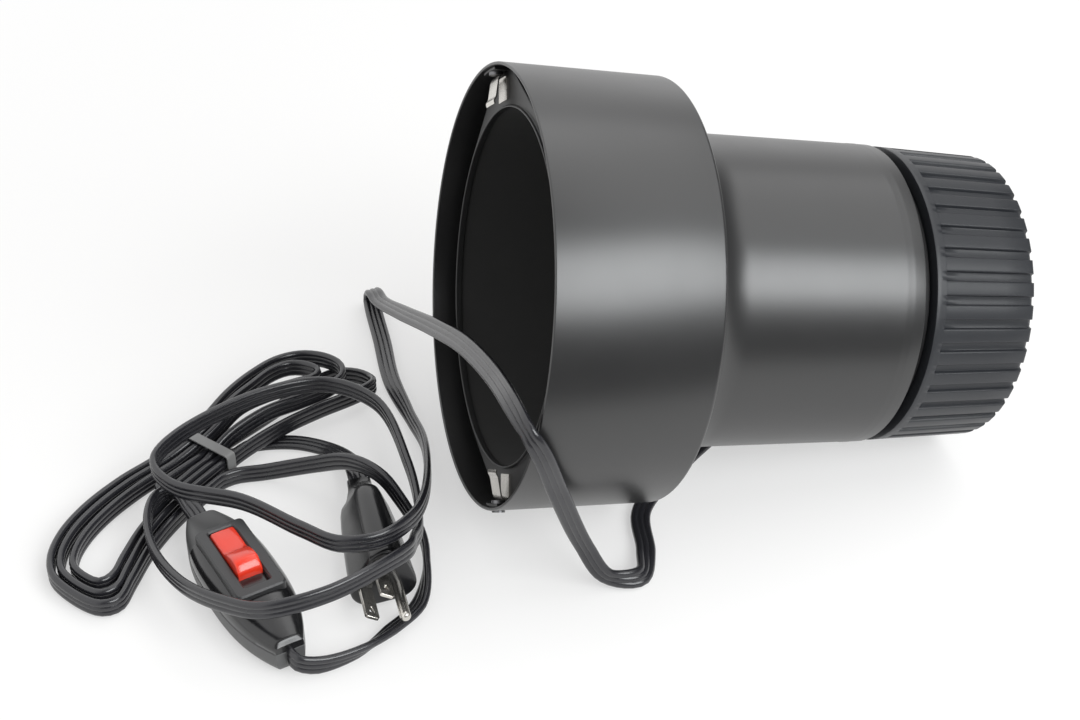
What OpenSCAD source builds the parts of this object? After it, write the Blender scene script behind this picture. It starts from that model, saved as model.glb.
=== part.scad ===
// Condenser lamphouse of a photographic enlarger, lying on its side with its mains lead.
// Millimetres, +Z up, z = 0 is the table. X follows the lamp's axis, from the open mouth to the knob.
// The lamphouse's own pieces are drawn along local z, from the rim (0) to the knob's end,
// with local x up and local y to the front, and lying() lays them down as they rest.

/* [Shell] */
// Outer radius of the skirt at its rim
rim_r = 95; // [94:0.5:96]
// Outer radius of the skirt at its shoulder
shoulder_r = 92.5; // [91:0.5:93]
// Depth of the skirt, from the rim to the back of the shoulder
skirt_depth = 72.5; // [70:0.5:74]
// Outer radius of the neck beside the shoulder
neck_r = 68.8; // [68:0.2:69.4]
// Outer radius of the neck at its end
neck_end_r = 66.8; // [66.6:0.1:67.2]
// Distance from the rim to the end of the neck
neck_end = 172.4; // [170:0.2:172.8]
// Thickness of the spun metal
wall = 1.3; // [1:0.1:1.4]
// Radius of the rounded corners at the shoulder and at the knob's end
corner_r = 2; // [1.5:0.25:2.5]

/* [Mouth] */
// Radius of the plain cylinder inside the rim
rim_bore_r = 93.6; // [93.4:0.1:93.8]
// Radius of the round collar in the mouth plate
collar_r = 76.2; // [75:0.2:76.6]
// Distance from the rim to the mouth plate
plate_z = 8; // [7.6:0.2:9]
// Direction of the first clip, in degrees from the top towards the front
clip_angle = 322; // [318:1:326]

/* [Lamp] */
// Radius of the lamp's globe
globe_r = 33.35; // [30:0.05:33.4]
// Distance from the rim to the front of the globe
globe_z = 36; // [34:1:38]
// Distance from the rim to the front of the screw base
base_z = 137; // [136:0.5:138]
// Travel of the lamp each way from the middle of its range
lamp_travel = 5; // [3:0.5:5]

/* [Knob] */
// Radius of the knob at its front edge
knob_r = 66.2; // [65.6:0.2:66.6]
// Radius of the knob at its end face
knob_end_r = 63.6; // [63:0.2:64]
// Distance from the rim to the knob's front edge
knob_z = 178; // [178:0.2:179]
// Distance from the rim to the knob's end face
knob_end = 226.5; // [226:0.5:228]
// Number of grip grooves
grooves = 40; // [36:2:44]
// Width of one groove
groove_w = 4.2; // [3:0.2:5]
// Depth of one groove
groove_depth = 1.8; // [1:0.1:2]
// Turn of the knob each way from the middle of its range
knob_turn = 135; // [90:5:135]

/* [Cord] */
// Width of the flat cord
cord_w = 8.8; // [8.4:0.1:8.8]
// Thickness of the flat cord
cord_t = 3.3; // [3:0.1:3.3]

/* [Hidden] */
$fn = 96;

// The lamphouse rests on its shoulder corner and on the knob's far edge
shoulder_c = [shoulder_r - corner_r, skirt_depth - corner_r];
knob_c = [knob_end_r - corner_r, knob_end - corner_r];
tilt = atan2(shoulder_c.x - knob_c.x, knob_c.y - shoulder_c.y);
rim_h = corner_r + shoulder_c.x * cos(tilt) + shoulder_c.y * sin(tilt);
x_low = -rim_r * sin(tilt);
x_high = knob_c.x * sin(tilt) + knob_c.y * cos(tilt) + corner_r;
rim_x = -(x_low + x_high) / 2;

module lying() {
  translate([rim_x, 0, rim_h]) rotate([0, 90 + tilt, 0]) rotate([0, 0, 180]) children();
}

// Points of an arc in the plane, from angle a to angle b
function arc(cx, cy, r, a, b, n = 8) = [for (i = [0:n])
  let (t = a + (b - a) * i / n) [cx + r * cos(t), cy + r * sin(t)]];

// Closed outline of a strip of thickness t along a path
function side(path, t) = [for (i = [0:len(path) - 1])
  let (a = path[max(i - 1, 0)], b = path[min(i + 1, len(path) - 1)], d = (b - a) / norm(b - a))
  path[i] + t / 2 * [-d.y, d.x]];
function reversed(list) = [for (i = [len(list) - 1:-1:0]) list[i]];
function strip(path, t) = concat(side(path, t), reversed(side(path, -t)));

// Shell: the shoulder runs into the neck in a long hollow, a quarter of an ellipse
hollow_r = 9;
hollow_l = 17;
hollow_c = [neck_r + hollow_r, skirt_depth + hollow_l];
function hollow(t, a, b, n = 8) = [for (i = [0:n])
  let (u = a + (b - a) * i / n) hollow_c + [(hollow_r + t) * cos(u), (hollow_l + t) * sin(u)]];
gland_r = 80;
gland_angle = 240;
gland_hole_r = 5;
rivet_z = 4.5;
rivet_r = 1.6;

module outer_shell() color([0.06, 0.06, 0.065]) lying() difference() {
  rotate_extrude() polygon(concat(
    [[rim_r, 0]],
    arc(shoulder_c.x, shoulder_c.y, corner_r, 2, 90),
    hollow(0, 270, 180),
    [[neck_end_r, neck_end], [neck_end_r - wall, neck_end]],
    hollow(wall, 180, 270),
    arc(shoulder_c.x, shoulder_c.y, corner_r - wall, 90, 2, 4),
    [[rim_bore_r, 10], [rim_bore_r, 0]]));
  rotate(gland_angle) translate([gland_r, 0, skirt_depth - 5]) cylinder(h = 10, r = gland_hole_r);
  for (a = [0, 180]) rotate(clip_angle + a) translate([rim_bore_r - 3, 0, rivet_z]) rotate([0, 90, 0])
    cylinder(h = 8, r = rivet_r);
}

// Mouth plate: a ring with a drawn collar and two ears, each with a tab riveted to the skirt
plate_t = 1.2;
plate_r = 81;
ear_r = 92.2;
ear_w = 24;
tab_r = 93.4;
tab_w = 16;

module ears() {
  for (a = [0, 180]) rotate(clip_angle + a) translate([ear_r - 2, -ear_w / 2]) square([2, ear_w]);
}

module mouth_plate() color([0.05, 0.05, 0.05]) lying() {
  difference() {
    translate([0, 0, plate_z]) linear_extrude(plate_t) intersection() {
      hull() {
        circle(r = plate_r);
        ears();
      }
      circle(r = ear_r);
    }
    cylinder(h = 20, r = collar_r);
  }
  rotate_extrude() translate([collar_r, plate_z - 1.4]) square([1, 1.4 + plate_t]);
  for (a = [0, 180]) rotate(clip_angle + a) difference() {
    intersection() {
      rotate_extrude() translate([ear_r - 0.1, 1.5]) square([tab_r - ear_r + 0.1, plate_z + plate_t - 1.5]);
      translate([ear_r - 6, -tab_w / 2, 0]) cube([10, tab_w, 20]);
    }
    translate([ear_r - 3, 0, rivet_z]) rotate([0, 90, 0]) cylinder(h = 8, r = rivet_r);
  }
}

// Radial rivets through the skirt and the tabs, with a head each side
module plate_rivets() color([0.35, 0.35, 0.36]) lying() {
  for (a = [0, 180]) rotate(clip_angle + a) translate([0, 0, rivet_z]) rotate([0, 90, 0]) {
    translate([0, 0, ear_r - 1.6]) cylinder(h = 1.4, r = 3);
    translate([0, 0, ear_r - 0.4]) cylinder(h = rim_r - ear_r + 0.6, r = rivet_r);
    translate([0, 0, rim_r - 0.04]) cylinder(h = 0.8, r = 2.8);
  }
}

// Folded spring clips on the ears: a foot welded to the plate, and a leaf that bends back over it and
// springs at the fold. Outlines are [radius, height over the plate].
clip_t = 0.6;
clip_w = 12;
fold = [90, -2];
fold_r = 0.5;
clip_foot = [[79.5, -clip_t / 2], [88.3, -clip_t / 2], [89.2, -0.5], [89.7, -1.05]];
clip_leaf = [fold, [89.6, -3.3], [88.4, -4], [80.5, -5.2], [79, -6.2], [77.6, -5.8]];

module clip(a) color([0.8, 0.8, 0.8]) lying() rotate(a) translate([0, clip_w / 2, plate_z])
  rotate([90, 0, 0]) linear_extrude(clip_w) children();
module clip_foot(a) clip(a) difference() {
  polygon(strip(clip_foot, clip_t));
  translate(fold) circle(r = fold_r + 0.2);
}
module clip_leaf(a) clip(a) union() {
  polygon(strip(clip_leaf, clip_t));
  translate(fold) circle(r = fold_r);
}
module clip_foot_upper() clip_foot(clip_angle);
module clip_leaf_upper() clip_leaf(clip_angle);
module clip_foot_lower() clip_foot(clip_angle + 180);
module clip_leaf_lower() clip_leaf(clip_angle + 180);

// Inner housing: reflector-shaped liner that keeps the lamp's heat off the shell
housing_r = 60;
housing_t = 1;
cone_end = 78;
housing_end = 166;
lead_hole_z = 157;
lead_hole_r = 3.6;
lead_angle = 200;

module inner_housing() color([0.04, 0.04, 0.04]) lying() difference() {
  rotate_extrude() polygon([
    [plate_r, plate_z + plate_t], [plate_r, plate_z + plate_t + housing_t],
    [collar_r + housing_t + 1, plate_z + plate_t + housing_t],
    [housing_r + housing_t, cone_end], [housing_r + housing_t, housing_end],
    [housing_r, housing_end], [housing_r, cone_end], [collar_r + 1, plate_z + plate_t]]);
  rotate(lead_angle) translate([housing_r - 4, 0, lead_hole_z]) rotate([0, 90, 0])
    cylinder(h = 8, r = lead_hole_r);
}

// Light baffle: a flanged ring round the socket
module light_baffle() color([0.05, 0.05, 0.05]) lying() rotate_extrude() polygon([
  [22.6, 143], [housing_r - 0.1, 143], [housing_r - 0.1, 149], [housing_r - 1.1, 149],
  [housing_r - 1.1, 144.2], [22.6, 144.2]]);

// Neck ring: pressed into the end of the neck, with the spider and the hub in which the knob's shaft turns
shaft_r = 12;
run_gap = 0.05;
hub_r = 17;
hub_end = 200;
spider_z = 177;
spider_end = 181;
rod_r = 2.5;
rod_at = 34;

module neck_ring() color([0.07, 0.07, 0.07]) lying() difference() {
  rotate_extrude() polygon([
    [57, housing_end], [neck_end_r - wall - 0.05, housing_end], [neck_end_r - wall - 0.05, neck_end],
    [60, neck_end], [60, spider_z + 0.5], [57.4, spider_z + 0.5], [57.4, spider_end],
    [hub_r, spider_end], [hub_r, hub_end], [shaft_r + run_gap, hub_end], [shaft_r + run_gap, spider_z],
    [54, spider_z], [54, housing_end + 4], [57, housing_end + 4]]);
  for (a = [30:60:330]) rotate(a) translate([39, 0, spider_z - 1]) cylinder(h = 8, r = 11);
  for (a = [0, 180]) rotate(90 + a) translate([rod_at - 8, 0, spider_z - 1]) cylinder(h = 3.5, r = rod_r);
}

module guide_rods() color([0.7, 0.7, 0.72]) lying() {
  for (a = [0, 180]) rotate(90 + a) translate([rod_at - 8, 0, 150]) cylinder(h = spider_z + 2.5 - 150, r = rod_r);
}

module bearing_washer() color([0.75, 0.65, 0.35]) lying() translate([0, 0, hub_end]) difference() {
  cylinder(h = 1.6, r = hub_r);
  translate([0, 0, -1]) cylinder(h = 4, r = shaft_r + 0.3);
}

// Knob: a hollow cap with a drafted, grooved skirt
groove_z = knob_z + 4.5;
knob_wall_r = 58;
knob_face_t = 4;
boss_r = 17;
boss_z = hub_end + 1.8;
screw_at = 10.2;
draft = atan2(knob_r - knob_end_r, knob_end - knob_z);

module knob_screw_places() {
  for (a = [60:120:300]) rotate(a) translate([screw_at, 0, 0]) children();
}

module knob() color([0.07, 0.07, 0.08]) lying() difference() {
  rotate_extrude() polygon(concat(
    [[knob_wall_r, knob_z], [knob_r, knob_z]],
    arc(knob_c.x, knob_c.y, corner_r, 3, 90),
    [[0, knob_end], [0, knob_end - knob_face_t], [shaft_r, knob_end - knob_face_t], [shaft_r, boss_z],
     [boss_r, boss_z], [boss_r, knob_end - knob_face_t], [knob_wall_r - 2, knob_end - knob_face_t]]));
  for (i = [0:grooves - 1]) rotate((i + 0.5) * 360 / grooves) translate([knob_r - groove_depth, 0, knob_z])
    rotate([0, -draft, 0]) translate([0, -groove_w / 2, groove_z - knob_z]) cube([8, groove_w, 60]);
  knob_screw_places() translate([0, 0, knob_end - 6]) cylinder(h = 10, r = 1.4);
  translate([0, 0, knob_end - 2.2]) cylinder(h = 10, r = 15.8);
}

// Shaft of the knob: a sleeve with a cam slot that drives the lamp's stem along the axis
stem_r = 8.25;
shaft_z = 174.8;
ring_z = 175.5;
ring_t = 1.2;
ring_groove_r = 11;
cam_z = 190;
cam_half = 1.8;
pin_r = 1.5;
cam_run = 2 * lamp_travel + 2 * cam_half;
cam_sweep = cam_run * knob_turn / lamp_travel;
cam_sector = cam_half * knob_turn / lamp_travel;

module knob_shaft() color([0.6, 0.6, 0.62]) lying() difference() {
  translate([0, 0, shaft_z]) cylinder(h = knob_end - knob_face_t - shaft_z, r = shaft_r);
  translate([0, 0, shaft_z - 1]) cylinder(h = knob_end - knob_face_t - 1.5 - shaft_z, r = stem_r + run_gap);
  rotate_extrude() translate([ring_groove_r, ring_z]) square([4, ring_t]);
  translate([0, 0, cam_z - cam_run / 2]) rotate(cam_sweep / 2)
    linear_extrude(cam_run, twist = cam_sweep, slices = 24, segments = 8)
    polygon(concat([[0, 0]], arc(0, 0, 14, -cam_sector, cam_sector, 6)));
  knob_screw_places() translate([0, 0, knob_end - 14]) cylinder(h = 20, r = 1.2);
}

module retaining_ring() color([0.5, 0.5, 0.52]) lying() translate([0, 0, ring_z]) difference() {
  cylinder(h = ring_t, r = 14);
  translate([0, 0, -1]) cylinder(h = 4, r = ring_groove_r);
  translate([4, -3, -1]) cube([12, 6, 4]);
}

module knob_screws() color([0.3, 0.3, 0.3]) lying() knob_screw_places() {
  translate([0, 0, knob_end - 13.5]) cylinder(h = 12, r = 1.2);
  difference() {
    translate([0, 0, knob_end - 2.2]) cylinder(h = 1.6, r = 2.6);
    translate([-3, -0.35, knob_end - 1.2]) cube([6, 0.7, 2]);
  }
}

// Stem, pin and carriage: they slide together and carry the socket
stem_end = 213;
carriage_z = 166;
carriage_t = 3;
socket_screw_at = 16.5;
socket_screw_r = 1.5;

module lamp_stem() color([0.65, 0.65, 0.67]) lying() difference() {
  translate([0, 0, carriage_z]) cylinder(h = stem_end - carriage_z, r = stem_r);
  translate([0, 0, cam_z]) rotate([0, 90, 0]) cylinder(h = 12, r = pin_r);
}

module cam_pin() color([0.75, 0.75, 0.75]) lying() translate([0, 0, cam_z]) rotate([0, 90, 0])
  cylinder(h = 11.5, r = pin_r);

module lamp_carriage() color([0.55, 0.55, 0.57]) lying() difference() {
  translate([0, 0, carriage_z]) linear_extrude(carriage_t) union() {
    circle(r = 21);
    for (a = [0, 180]) rotate(90 + a) translate([rod_at - 8, 0]) circle(r = 6);
  }
  translate([0, 0, carriage_z - 1]) cylinder(h = 6, r = stem_r);
  for (a = [0, 180]) rotate(90 + a) translate([rod_at - 8, 0, carriage_z - 1]) cylinder(h = 6, r = rod_r + run_gap);
  for (a = [0, 180]) rotate(a) translate([socket_screw_at, 0, carriage_z - 1]) cylinder(h = 6, r = socket_screw_r);
}

// Socket: a ceramic body with a screw shell and a centre contact
socket_r = 19;
screw_shell_r = 14.4;
socket_z = 138;

module lamp_socket() color([0.9, 0.88, 0.82]) lying() difference() {
  translate([0, 0, socket_z]) cylinder(h = carriage_z - socket_z, r = socket_r);
  translate([0, 0, socket_z - 1]) cylinder(h = 25, r = screw_shell_r);
  for (a = [0, 180]) rotate(a) translate([socket_screw_at, 0, 157]) cylinder(h = 10, r = socket_screw_r);
}

module socket_shell() color([0.8, 0.65, 0.3]) lying() translate([0, 0, socket_z + 1]) difference() {
  cylinder(h = 20, r = screw_shell_r);
  translate([0, 0, -1]) cylinder(h = 22, r = screw_shell_r - 0.6);
}

module centre_contact() color([0.8, 0.65, 0.3]) lying() translate([-9, -2, 161.4]) cube([12, 4, 0.6]);

module socket_screws() color([0.6, 0.6, 0.6]) lying() for (a = [0, 180]) rotate(a)
  translate([socket_screw_at, 0, 0]) {
    translate([0, 0, 157.5]) cylinder(h = carriage_z + carriage_t - 157.5, r = socket_screw_r);
    translate([0, 0, carriage_z + carriage_t]) cylinder(h = 1.6, r = 2.2);
  }

// Lamp: opal bulb on a 26 mm screw base
lamp_base_r = 13.2;
lamp_tip = 161;
globe_c = globe_z + globe_r;
glass_t = 0.8;
glass_end_r = 12.6;

function bulb(t) = concat(
  arc(0, globe_c, globe_r - t, -90, 28, 20),
  arc(glass_end_r - t + 28 * cos(10), base_z - 0.5 + 28 * sin(10), 28, 216, 190, 6),
  [[glass_end_r - t, base_z + 8]]);

module lamp_glass() color([0.95, 0.95, 0.93]) lying() rotate_extrude()
  polygon(concat(bulb(0), reversed(bulb(glass_t))));

module lamp_base() color([0.75, 0.75, 0.75]) lying() {
  difference() {
    translate([0, 0, base_z]) cylinder(h = 20, r = lamp_base_r);
    translate([0, 0, base_z - 1]) cylinder(h = 19, r = glass_end_r);
  }
  translate([0, 0, base_z + 20]) cylinder(h = 3, r1 = 11, r2 = 6);
  translate([0, 0, base_z + 23]) cylinder(h = lamp_tip - base_z - 23, r = 4.5);
}

module filament_mount() color([0.8, 0.85, 0.88]) lying() {
  translate([0, 0, 100]) cylinder(h = base_z + 8 - 100, r = 4);
  rotate_extrude() translate([0, base_z + 7]) square([glass_end_r - glass_t, 1.5]);
  for (a = [-90, 90]) {
    rotate(a) translate([2.7, 0, 76]) cylinder(h = 26, r = 0.5);
    rotate(a) translate([2.7, 0, 76]) rotate([0, 90, 0]) cylinder(h = 7, r = 0.5);
  }
}

// Wiring inside the shoulder
block_angle = 205;
block_r = 80;

module block_place(dy = 0) {
  rotate(block_angle) translate([block_r, dy, 0]) children();
}

module terminal_block() color([0.85, 0.83, 0.78]) lying() difference() {
  block_place() translate([-6, -14, 58]) cube([12, 28, 13]);
  for (y = [-7, 7]) block_place(y) translate([0, 0, 50]) cylinder(h = 15, r = 2);
  for (y = [-7, 7]) block_place(y) translate([-10, 0, 62]) rotate([0, 90, 0]) cylinder(h = 14, r = 1.5);
}

module terminal_screws() color([0.75, 0.65, 0.35]) lying() for (y = [-7, 7]) block_place(y) difference() {
  translate([0, 0, 57]) cylinder(h = 8, r = 2);
  translate([-3, -0.3, 56.5]) cube([6, 0.6, 1.3]);
}

module ground_screw() color([0.3, 0.6, 0.35]) lying() rotate(268) translate([block_r, 0, 0]) {
  translate([0, 0, 67.6]) cylinder(h = 2.4, r = 3.4);
  translate([0, 0, 70]) cylinder(h = skirt_depth - wall - 70, r = 4.6);
}

// Tubes swept along hand-chosen points: [x, y, z, roll], where roll 0 stands the flat cord on edge
function xyz(p) = [p.x, p.y, p.z];
function tangent(path, i) =
  let (a = xyz(path[max(i - 1, 0)]), b = xyz(path[min(i + 1, len(path) - 1)])) (b - a) / norm(b - a);
function level(t, up) = let (h = cross(t, up)) h / norm(h);
function ring(path, i, section, up) =
  let (t = tangent(path, i), h = level(t, up), v = cross(h, t), r = path[i][3],
       wide = v * cos(r) + h * sin(r), thick = h * cos(r) - v * sin(r))
  [for (q = section) xyz(path[i]) + q.x * thick + q.y * wide];

module tube(path, section, up = [0, 0, 1]) {
  n = len(section);
  last = len(path) - 1;
  points = [for (i = [0:last]) each ring(path, i, section, up)];
  sides = [for (i = [0:last - 1]) for (j = [0:n - 1]) let (k = (j + 1) % n, a = i * n)
    each [[a + j, a + n + k, a + n + j], [a + j, a + k, a + n + k]]];
  front = [for (j = [1:n - 2]) [0, j + 1, j]];
  back = [for (j = [1:n - 2]) [last * n, last * n + j, last * n + j + 1]];
  polyhedron(points, concat(sides, front, back));
}

half_w = cord_w / 2;
half_t = cord_t / 2;
eight_sided = [for (q = [[1, -0.6], [1, 0.6], [0.5, 1], [-0.5, 1], [-1, 0.6], [-1, -0.6], [-0.5, -1], [0.5, -1]])
  [half_t * q.x, half_w * q.y]];
six_sided = [for (q = [[1, -0.75], [1, 0.75], [0, 1], [-1, 0.75], [-1, -0.75], [0, -1]]) [half_t * q.x, half_w * q.y]];
round_wire = [for (i = [0:7]) 1.2 * [cos(45 * i), sin(45 * i)]];

// Wires from the terminal block up the gap beside the neck and through the liner to the socket
gap_r = 63.2;
function polar(r, a, z) = [r * cos(a), r * sin(a), z, 0];
function lead_path(d) = [
  polar(72, block_angle + d, 62), polar(69, block_angle + d, 66), polar(65, lead_angle + d, 76),
  polar(gap_r, lead_angle + d, 84), polar(gap_r, lead_angle + d, 120), polar(gap_r, lead_angle + d, 146),
  polar(63, lead_angle + d * 0.6, 153), polar(61, lead_angle + d * 0.5, 156.5),
  polar(56, lead_angle + d * 0.5, lead_hole_z), polar(45, lead_angle + 2 * d, 156),
  polar(32, lead_angle + 5 * d, 152), polar(socket_r + 2.4, lead_angle + 8 * d, 154)];

module lead_wires() color([0.85, 0.85, 0.8]) lying() for (d = [-2.6, 2.6])
  tube(lead_path(d), round_wire, [-sin(lead_angle), cos(lead_angle), 0]);

// Strain relief: a tapered boot behind the shoulder, its foot cut to the hollow
relief_end = 102.5;

module strain_relief() color([0.06, 0.06, 0.06]) lying() difference() {
  rotate(gland_angle) translate([gland_r, 0, 0]) {
    translate([0, 0, skirt_depth - wall - 2.2]) cylinder(h = 2.2, r = 7);
    translate([0, 0, skirt_depth - wall]) cylinder(h = wall, r = gland_hole_r);
    translate([0, 0, skirt_depth]) cylinder(h = 2, r = 7);
    translate([0, 0, skirt_depth + 2]) cylinder(h = relief_end - skirt_depth - 2, r1 = 6.4, r2 = 5);
  }
  rotate_extrude() polygon(concat([[hollow_c.x, skirt_depth]], hollow(-0.05, 270, 180),
    [[neck_r - 5, hollow_c.y], [neck_r - 5, skirt_depth]]));
}

// Local frame to world, for the cord's first points
function to_world(p) = [
  rim_x + p.x * sin(tilt) + p.z * cos(tilt), -p.y,
  rim_h + p.x * cos(tilt) - p.z * sin(tilt)];
function from_gland(z) = to_world([gland_r * cos(gland_angle), gland_r * sin(gland_angle), z]);

// Hank: folds of the cord on both sides of a tie. Along s from the far left end, n across it.
hank_origin = [-309, -24];
hank_angle = 40;
tie_s = 98;
slot_pitch = 4;
slot_zero = -1.5;
steps = 12;
climb = 18;
// Each fold: slot it leaves, slot it comes back in, end along s; then, on the way out and on the way back,
// its bulge, the bulge's power, its sideways shift's power and its lift, with the shift before its powers
left_folds = [
  [-0.5, 7, -1.5, [30, 13], [2.8, 0.7], -14, [4, 4], [0, 0]], [3, 4, 66, [3, 3], [2, 2], 0, [2, 2], [0, 0]],
  [1, 6, 3, [28, 12], [2.8, 0.7], -13, [4, 4], [0, 0]], [5, 2, 8, [9, 21], [0.7, 2.8], -12, [4, 4], [0, 0]]];
right_folds = [
  [7, 3, 176, [31, 31], [2, 2], -13, [2, 2], [9.6, 9.6]], [4, 1, 185, [31, 31], [4, 4], -15, [2, 1], [0, 4]],
  [6, 5, 166, [26.6, 26.6], [4, 4], -12, [4, 4], [9.6, 9.6]]];
// Squareness of the loops at each end: 1 is round
left_round = 0.5;
right_round = 1;

function slot_n(i) = slot_zero + (i - 4) * slot_pitch;
function ramp(x) = let (c = min(max(x, 0), 1)) c * c * (3 - 2 * c);
function fold_point(f, a, round_by) =
  let (n0 = slot_n(f[0]), n1 = slot_n(f[1]), half = (n0 - n1) / 2, reach = f[2] - tie_s,
       x = sin(a), c = cos(a), i = a < 90 ? 0 : 1,
       back = ramp((a - 90) / 30), lift = f[7][0] * (1 - back) + f[7][1] * back,
       across = sign(c) * pow(abs(c), round_by) * (half + sign(half) * f[3][i] * pow(x, f[4][i])))
  [tie_s + reach * x, (n0 + n1) / 2 + f[5] * pow(x, f[6][i]) + across,
   half_w + 0.1 + lift * ramp(abs(reach) * x / climb)];
function on_table(q) = [hank_origin.x + q.x * cos(hank_angle) - q.y * sin(hank_angle),
  hank_origin.y + q.x * sin(hank_angle) + q.y * cos(hank_angle), q.z, 0];
function fold_points(f, r) = [for (k = [0:steps - 1]) on_table(fold_point(f, 180 * (k + 0.5) / steps, r))];
hank_route = [for (i = [0:3]) each concat(
  fold_points(left_folds[i], left_round), i < 3 ? fold_points(right_folds[i], right_round) : [])];
hank_last = len(hank_route) - 1;

// Point at distance d past b, in line with a and b
function ahead(a, b, d) =
  let (t = (xyz(b) - xyz(a)) / norm(xyz(b) - xyz(a))) concat(xyz(b) + d * t, [0]);

// From the strain relief, under the neck, out beside the shoulder, over the mouth and round to the switch
exit_a = from_gland(relief_end);
exit_b = from_gland(relief_end + 10);
lamphouse_route = [
  [exit_a.x, exit_a.y, exit_a.z, 0], [exit_b.x, exit_b.y, exit_b.z, 0], [13, 64, 35, 0], [24, 50, 21, 0],
  [22, 30, 9, 0], [6, 6, 5, 20], [-21, -16, 4, 60], [-49, -43, 2, 90],
  [-55, -70, 2.5, 80], [-62, -86, 4.2, 40], [-77, -86.5, 8, -15], [-87, -85, 26, -40],
  [-100.5, -93, 65, -40], [-109, -99, 92, -35], [-114, -97, 102.5, 10], [-116, -80, 103, 40],
  [-116, -46, 92, 45], [-118.5, 3, 73, 48], [-124, 51, 50, 55], [-130.5, 95, 28, 70], [-136, 130, 12, 90],
  [-137, 140, 10, 90], [-137.5, 145, 7, 90], [-138, 144, 3, -90], [-138.5, 136, 2, -90], [-139, 110, 2, -88],
  [-140.5, 75, 3.6, -55], [-137.5, 42, 6, -12], [-136, 14, 11.5, 0],
  [-146.5, -42, 29, 0], [-156.5, -62, 35, 0], [-171, -72, 36.5, 0], [-187, -70, 36, 0], [-201, -55, 34, 0],
  [-222, -29, 31, 0], [-250, -6, 26, 0], [-257, 13, 25, 0], [-245, 29.5, 25, 0],
  [-205, 50, 25, 0], [-174, 53, 23.5, 0], [-154, 36, 22, 0], [-147.5, -8, 20, 0],
  [-148, -34, 19, 0], [-151, -52, 20.5, 0], [-155, -62.5, 24.5, 0], [-159.3, -74, 30, 0], [-170, -84, 33.5, 0],
  [-196, -96.5, 34.5, 0],
  [-222, -97, 32, 0], [-236, -85, 27, 0], [-252, -61, 19, 0], [-262, -32, 14.2, 0],
  [-263, -11, 14, 0], [-258.5, 2, 14, 0], [-253, 5.5, 14, 15], [-247, 1, 13, 50], [-243.6, -5, 12, 90],
  [-240.66, -14.44, 12, 90]];

// From the switch, under the ground pin and the two strands that cross it, to the hank
switch_route = [
  [-213.75, -101.38, 9.5, 0], [-212.27, -106.16, 9.5, 0], [-204, -107, 6.5, 0], [-186, -101.5, 4.4, 25],
  [-171, -91, 3.2, 65], [-157.5, -79.5, 3.2, 65], [-149, -56, 4.5, 0], [-148, -41, 6.5, 0],
  [-150.5, -33, 9.8, 0], [-155, -25.5, 16.5, 0], [-160, -18.5, 22.5, 0], [-166, -11.5, 24.5, 0],
  [-174, -2, 22, 0], [-187, 9.5, 13.5, 0], [-209, 19.5, 5, 0],
  [-222, 20.5, 4.5, 0], ahead(hank_route[1], hank_route[0], 3), hank_route[0]];

// From the hank, through the tie, to the back of the plug
plug_route = [
  hank_route[hank_last], ahead(hank_route[hank_last - 1], hank_route[hank_last], 3), [-228, 31.5, 4.5, 0],
  [-224, 35, 4.5, 15], [-220, 38, 3.9, 45], [-217, 40.5, 2.8, 70], [-210, 44, 1.8, 90], [-192, 41, 1.8, 90],
  [-178, 32.5, 1.8, 90], [-170.5, 14, 8.5, 90], [-170, -1, 14.7, 90], [-170, -9, 14.7, 90]];

module cord_lamphouse() color([0.09, 0.09, 0.1]) tube(lamphouse_route, eight_sided);
module cord_switch() color([0.09, 0.09, 0.1]) tube(switch_route, eight_sided);
module cord_hank() color([0.09, 0.09, 0.1]) tube(hank_route, six_sided);
module cord_plug() color([0.09, 0.09, 0.1]) tube(plug_route, eight_sided);

// Least gap of the hank to itself, and the lengths of the cord's stretches
function run(path, i = 1, sum = 0) =
  i >= len(path) ? sum : run(path, i + 1, sum + norm(xyz(path[i]) - xyz(path[i - 1])));
function gap(a, b) = max(norm([a.x - b.x, a.y - b.y]) - cord_t, abs(a.z - b.z) - cord_w);
hank_fine = [for (i = [0:len(hank_route) - 2]) for (u = [0, 0.25, 0.5, 0.75])
  hank_route[i] * (1 - u) + hank_route[i + 1] * u];
hank_gaps = [for (i = [0:len(hank_fine) - 1]) for (j = [i + 16:1:len(hank_fine) - 1])
  gap(hank_fine[i], hank_fine[j])];
echo(hank_gap = min(hank_gaps));
echo(lamphouse = run(lamphouse_route), switch = run(switch_route), hank = run(hank_route), plug = run(plug_route));

// Tie: a flat band round the hank's waist
module hank_tie() color([0.45, 0.45, 0.44]) translate([hank_origin.x, hank_origin.y, 0]) rotate(hank_angle)
  translate([tie_s - 2.5, 0, 0]) difference() {
    translate([0, slot_n(1) - 4, 0]) cube([5, slot_n(7) - slot_n(1) + 7.6, 13]);
    translate([-1, slot_n(1) - 3.4, -1]) cube([7, slot_n(7) - slot_n(1) + 6.4, 13.4]);
  }

// Switch on the cord: a boat-shaped body in two halves, with a sliding button
switch_c = [-227.2, -57.9];
switch_angle = -72.8;
switch_l = 91;
switch_split = 12;
switch_h = 26;

module on_switch() translate([switch_c.x, switch_c.y, 0]) rotate(switch_angle) children();

function boat(inset, n = 12) =
  let (l = switch_l / 2 - inset,
       half = [for (i = [0:n]) let (u = -1 + 2 * i / n) [u * l, 15.75 - 9.5 * pow(abs(u), 2.6) - inset]])
  concat(half, [for (p = reversed(half)) [p.x, -p.y]]);

module slab(inset, z0, z1) translate([0, 0, z0]) linear_extrude(z1 - z0) polygon(boat(inset));

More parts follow.
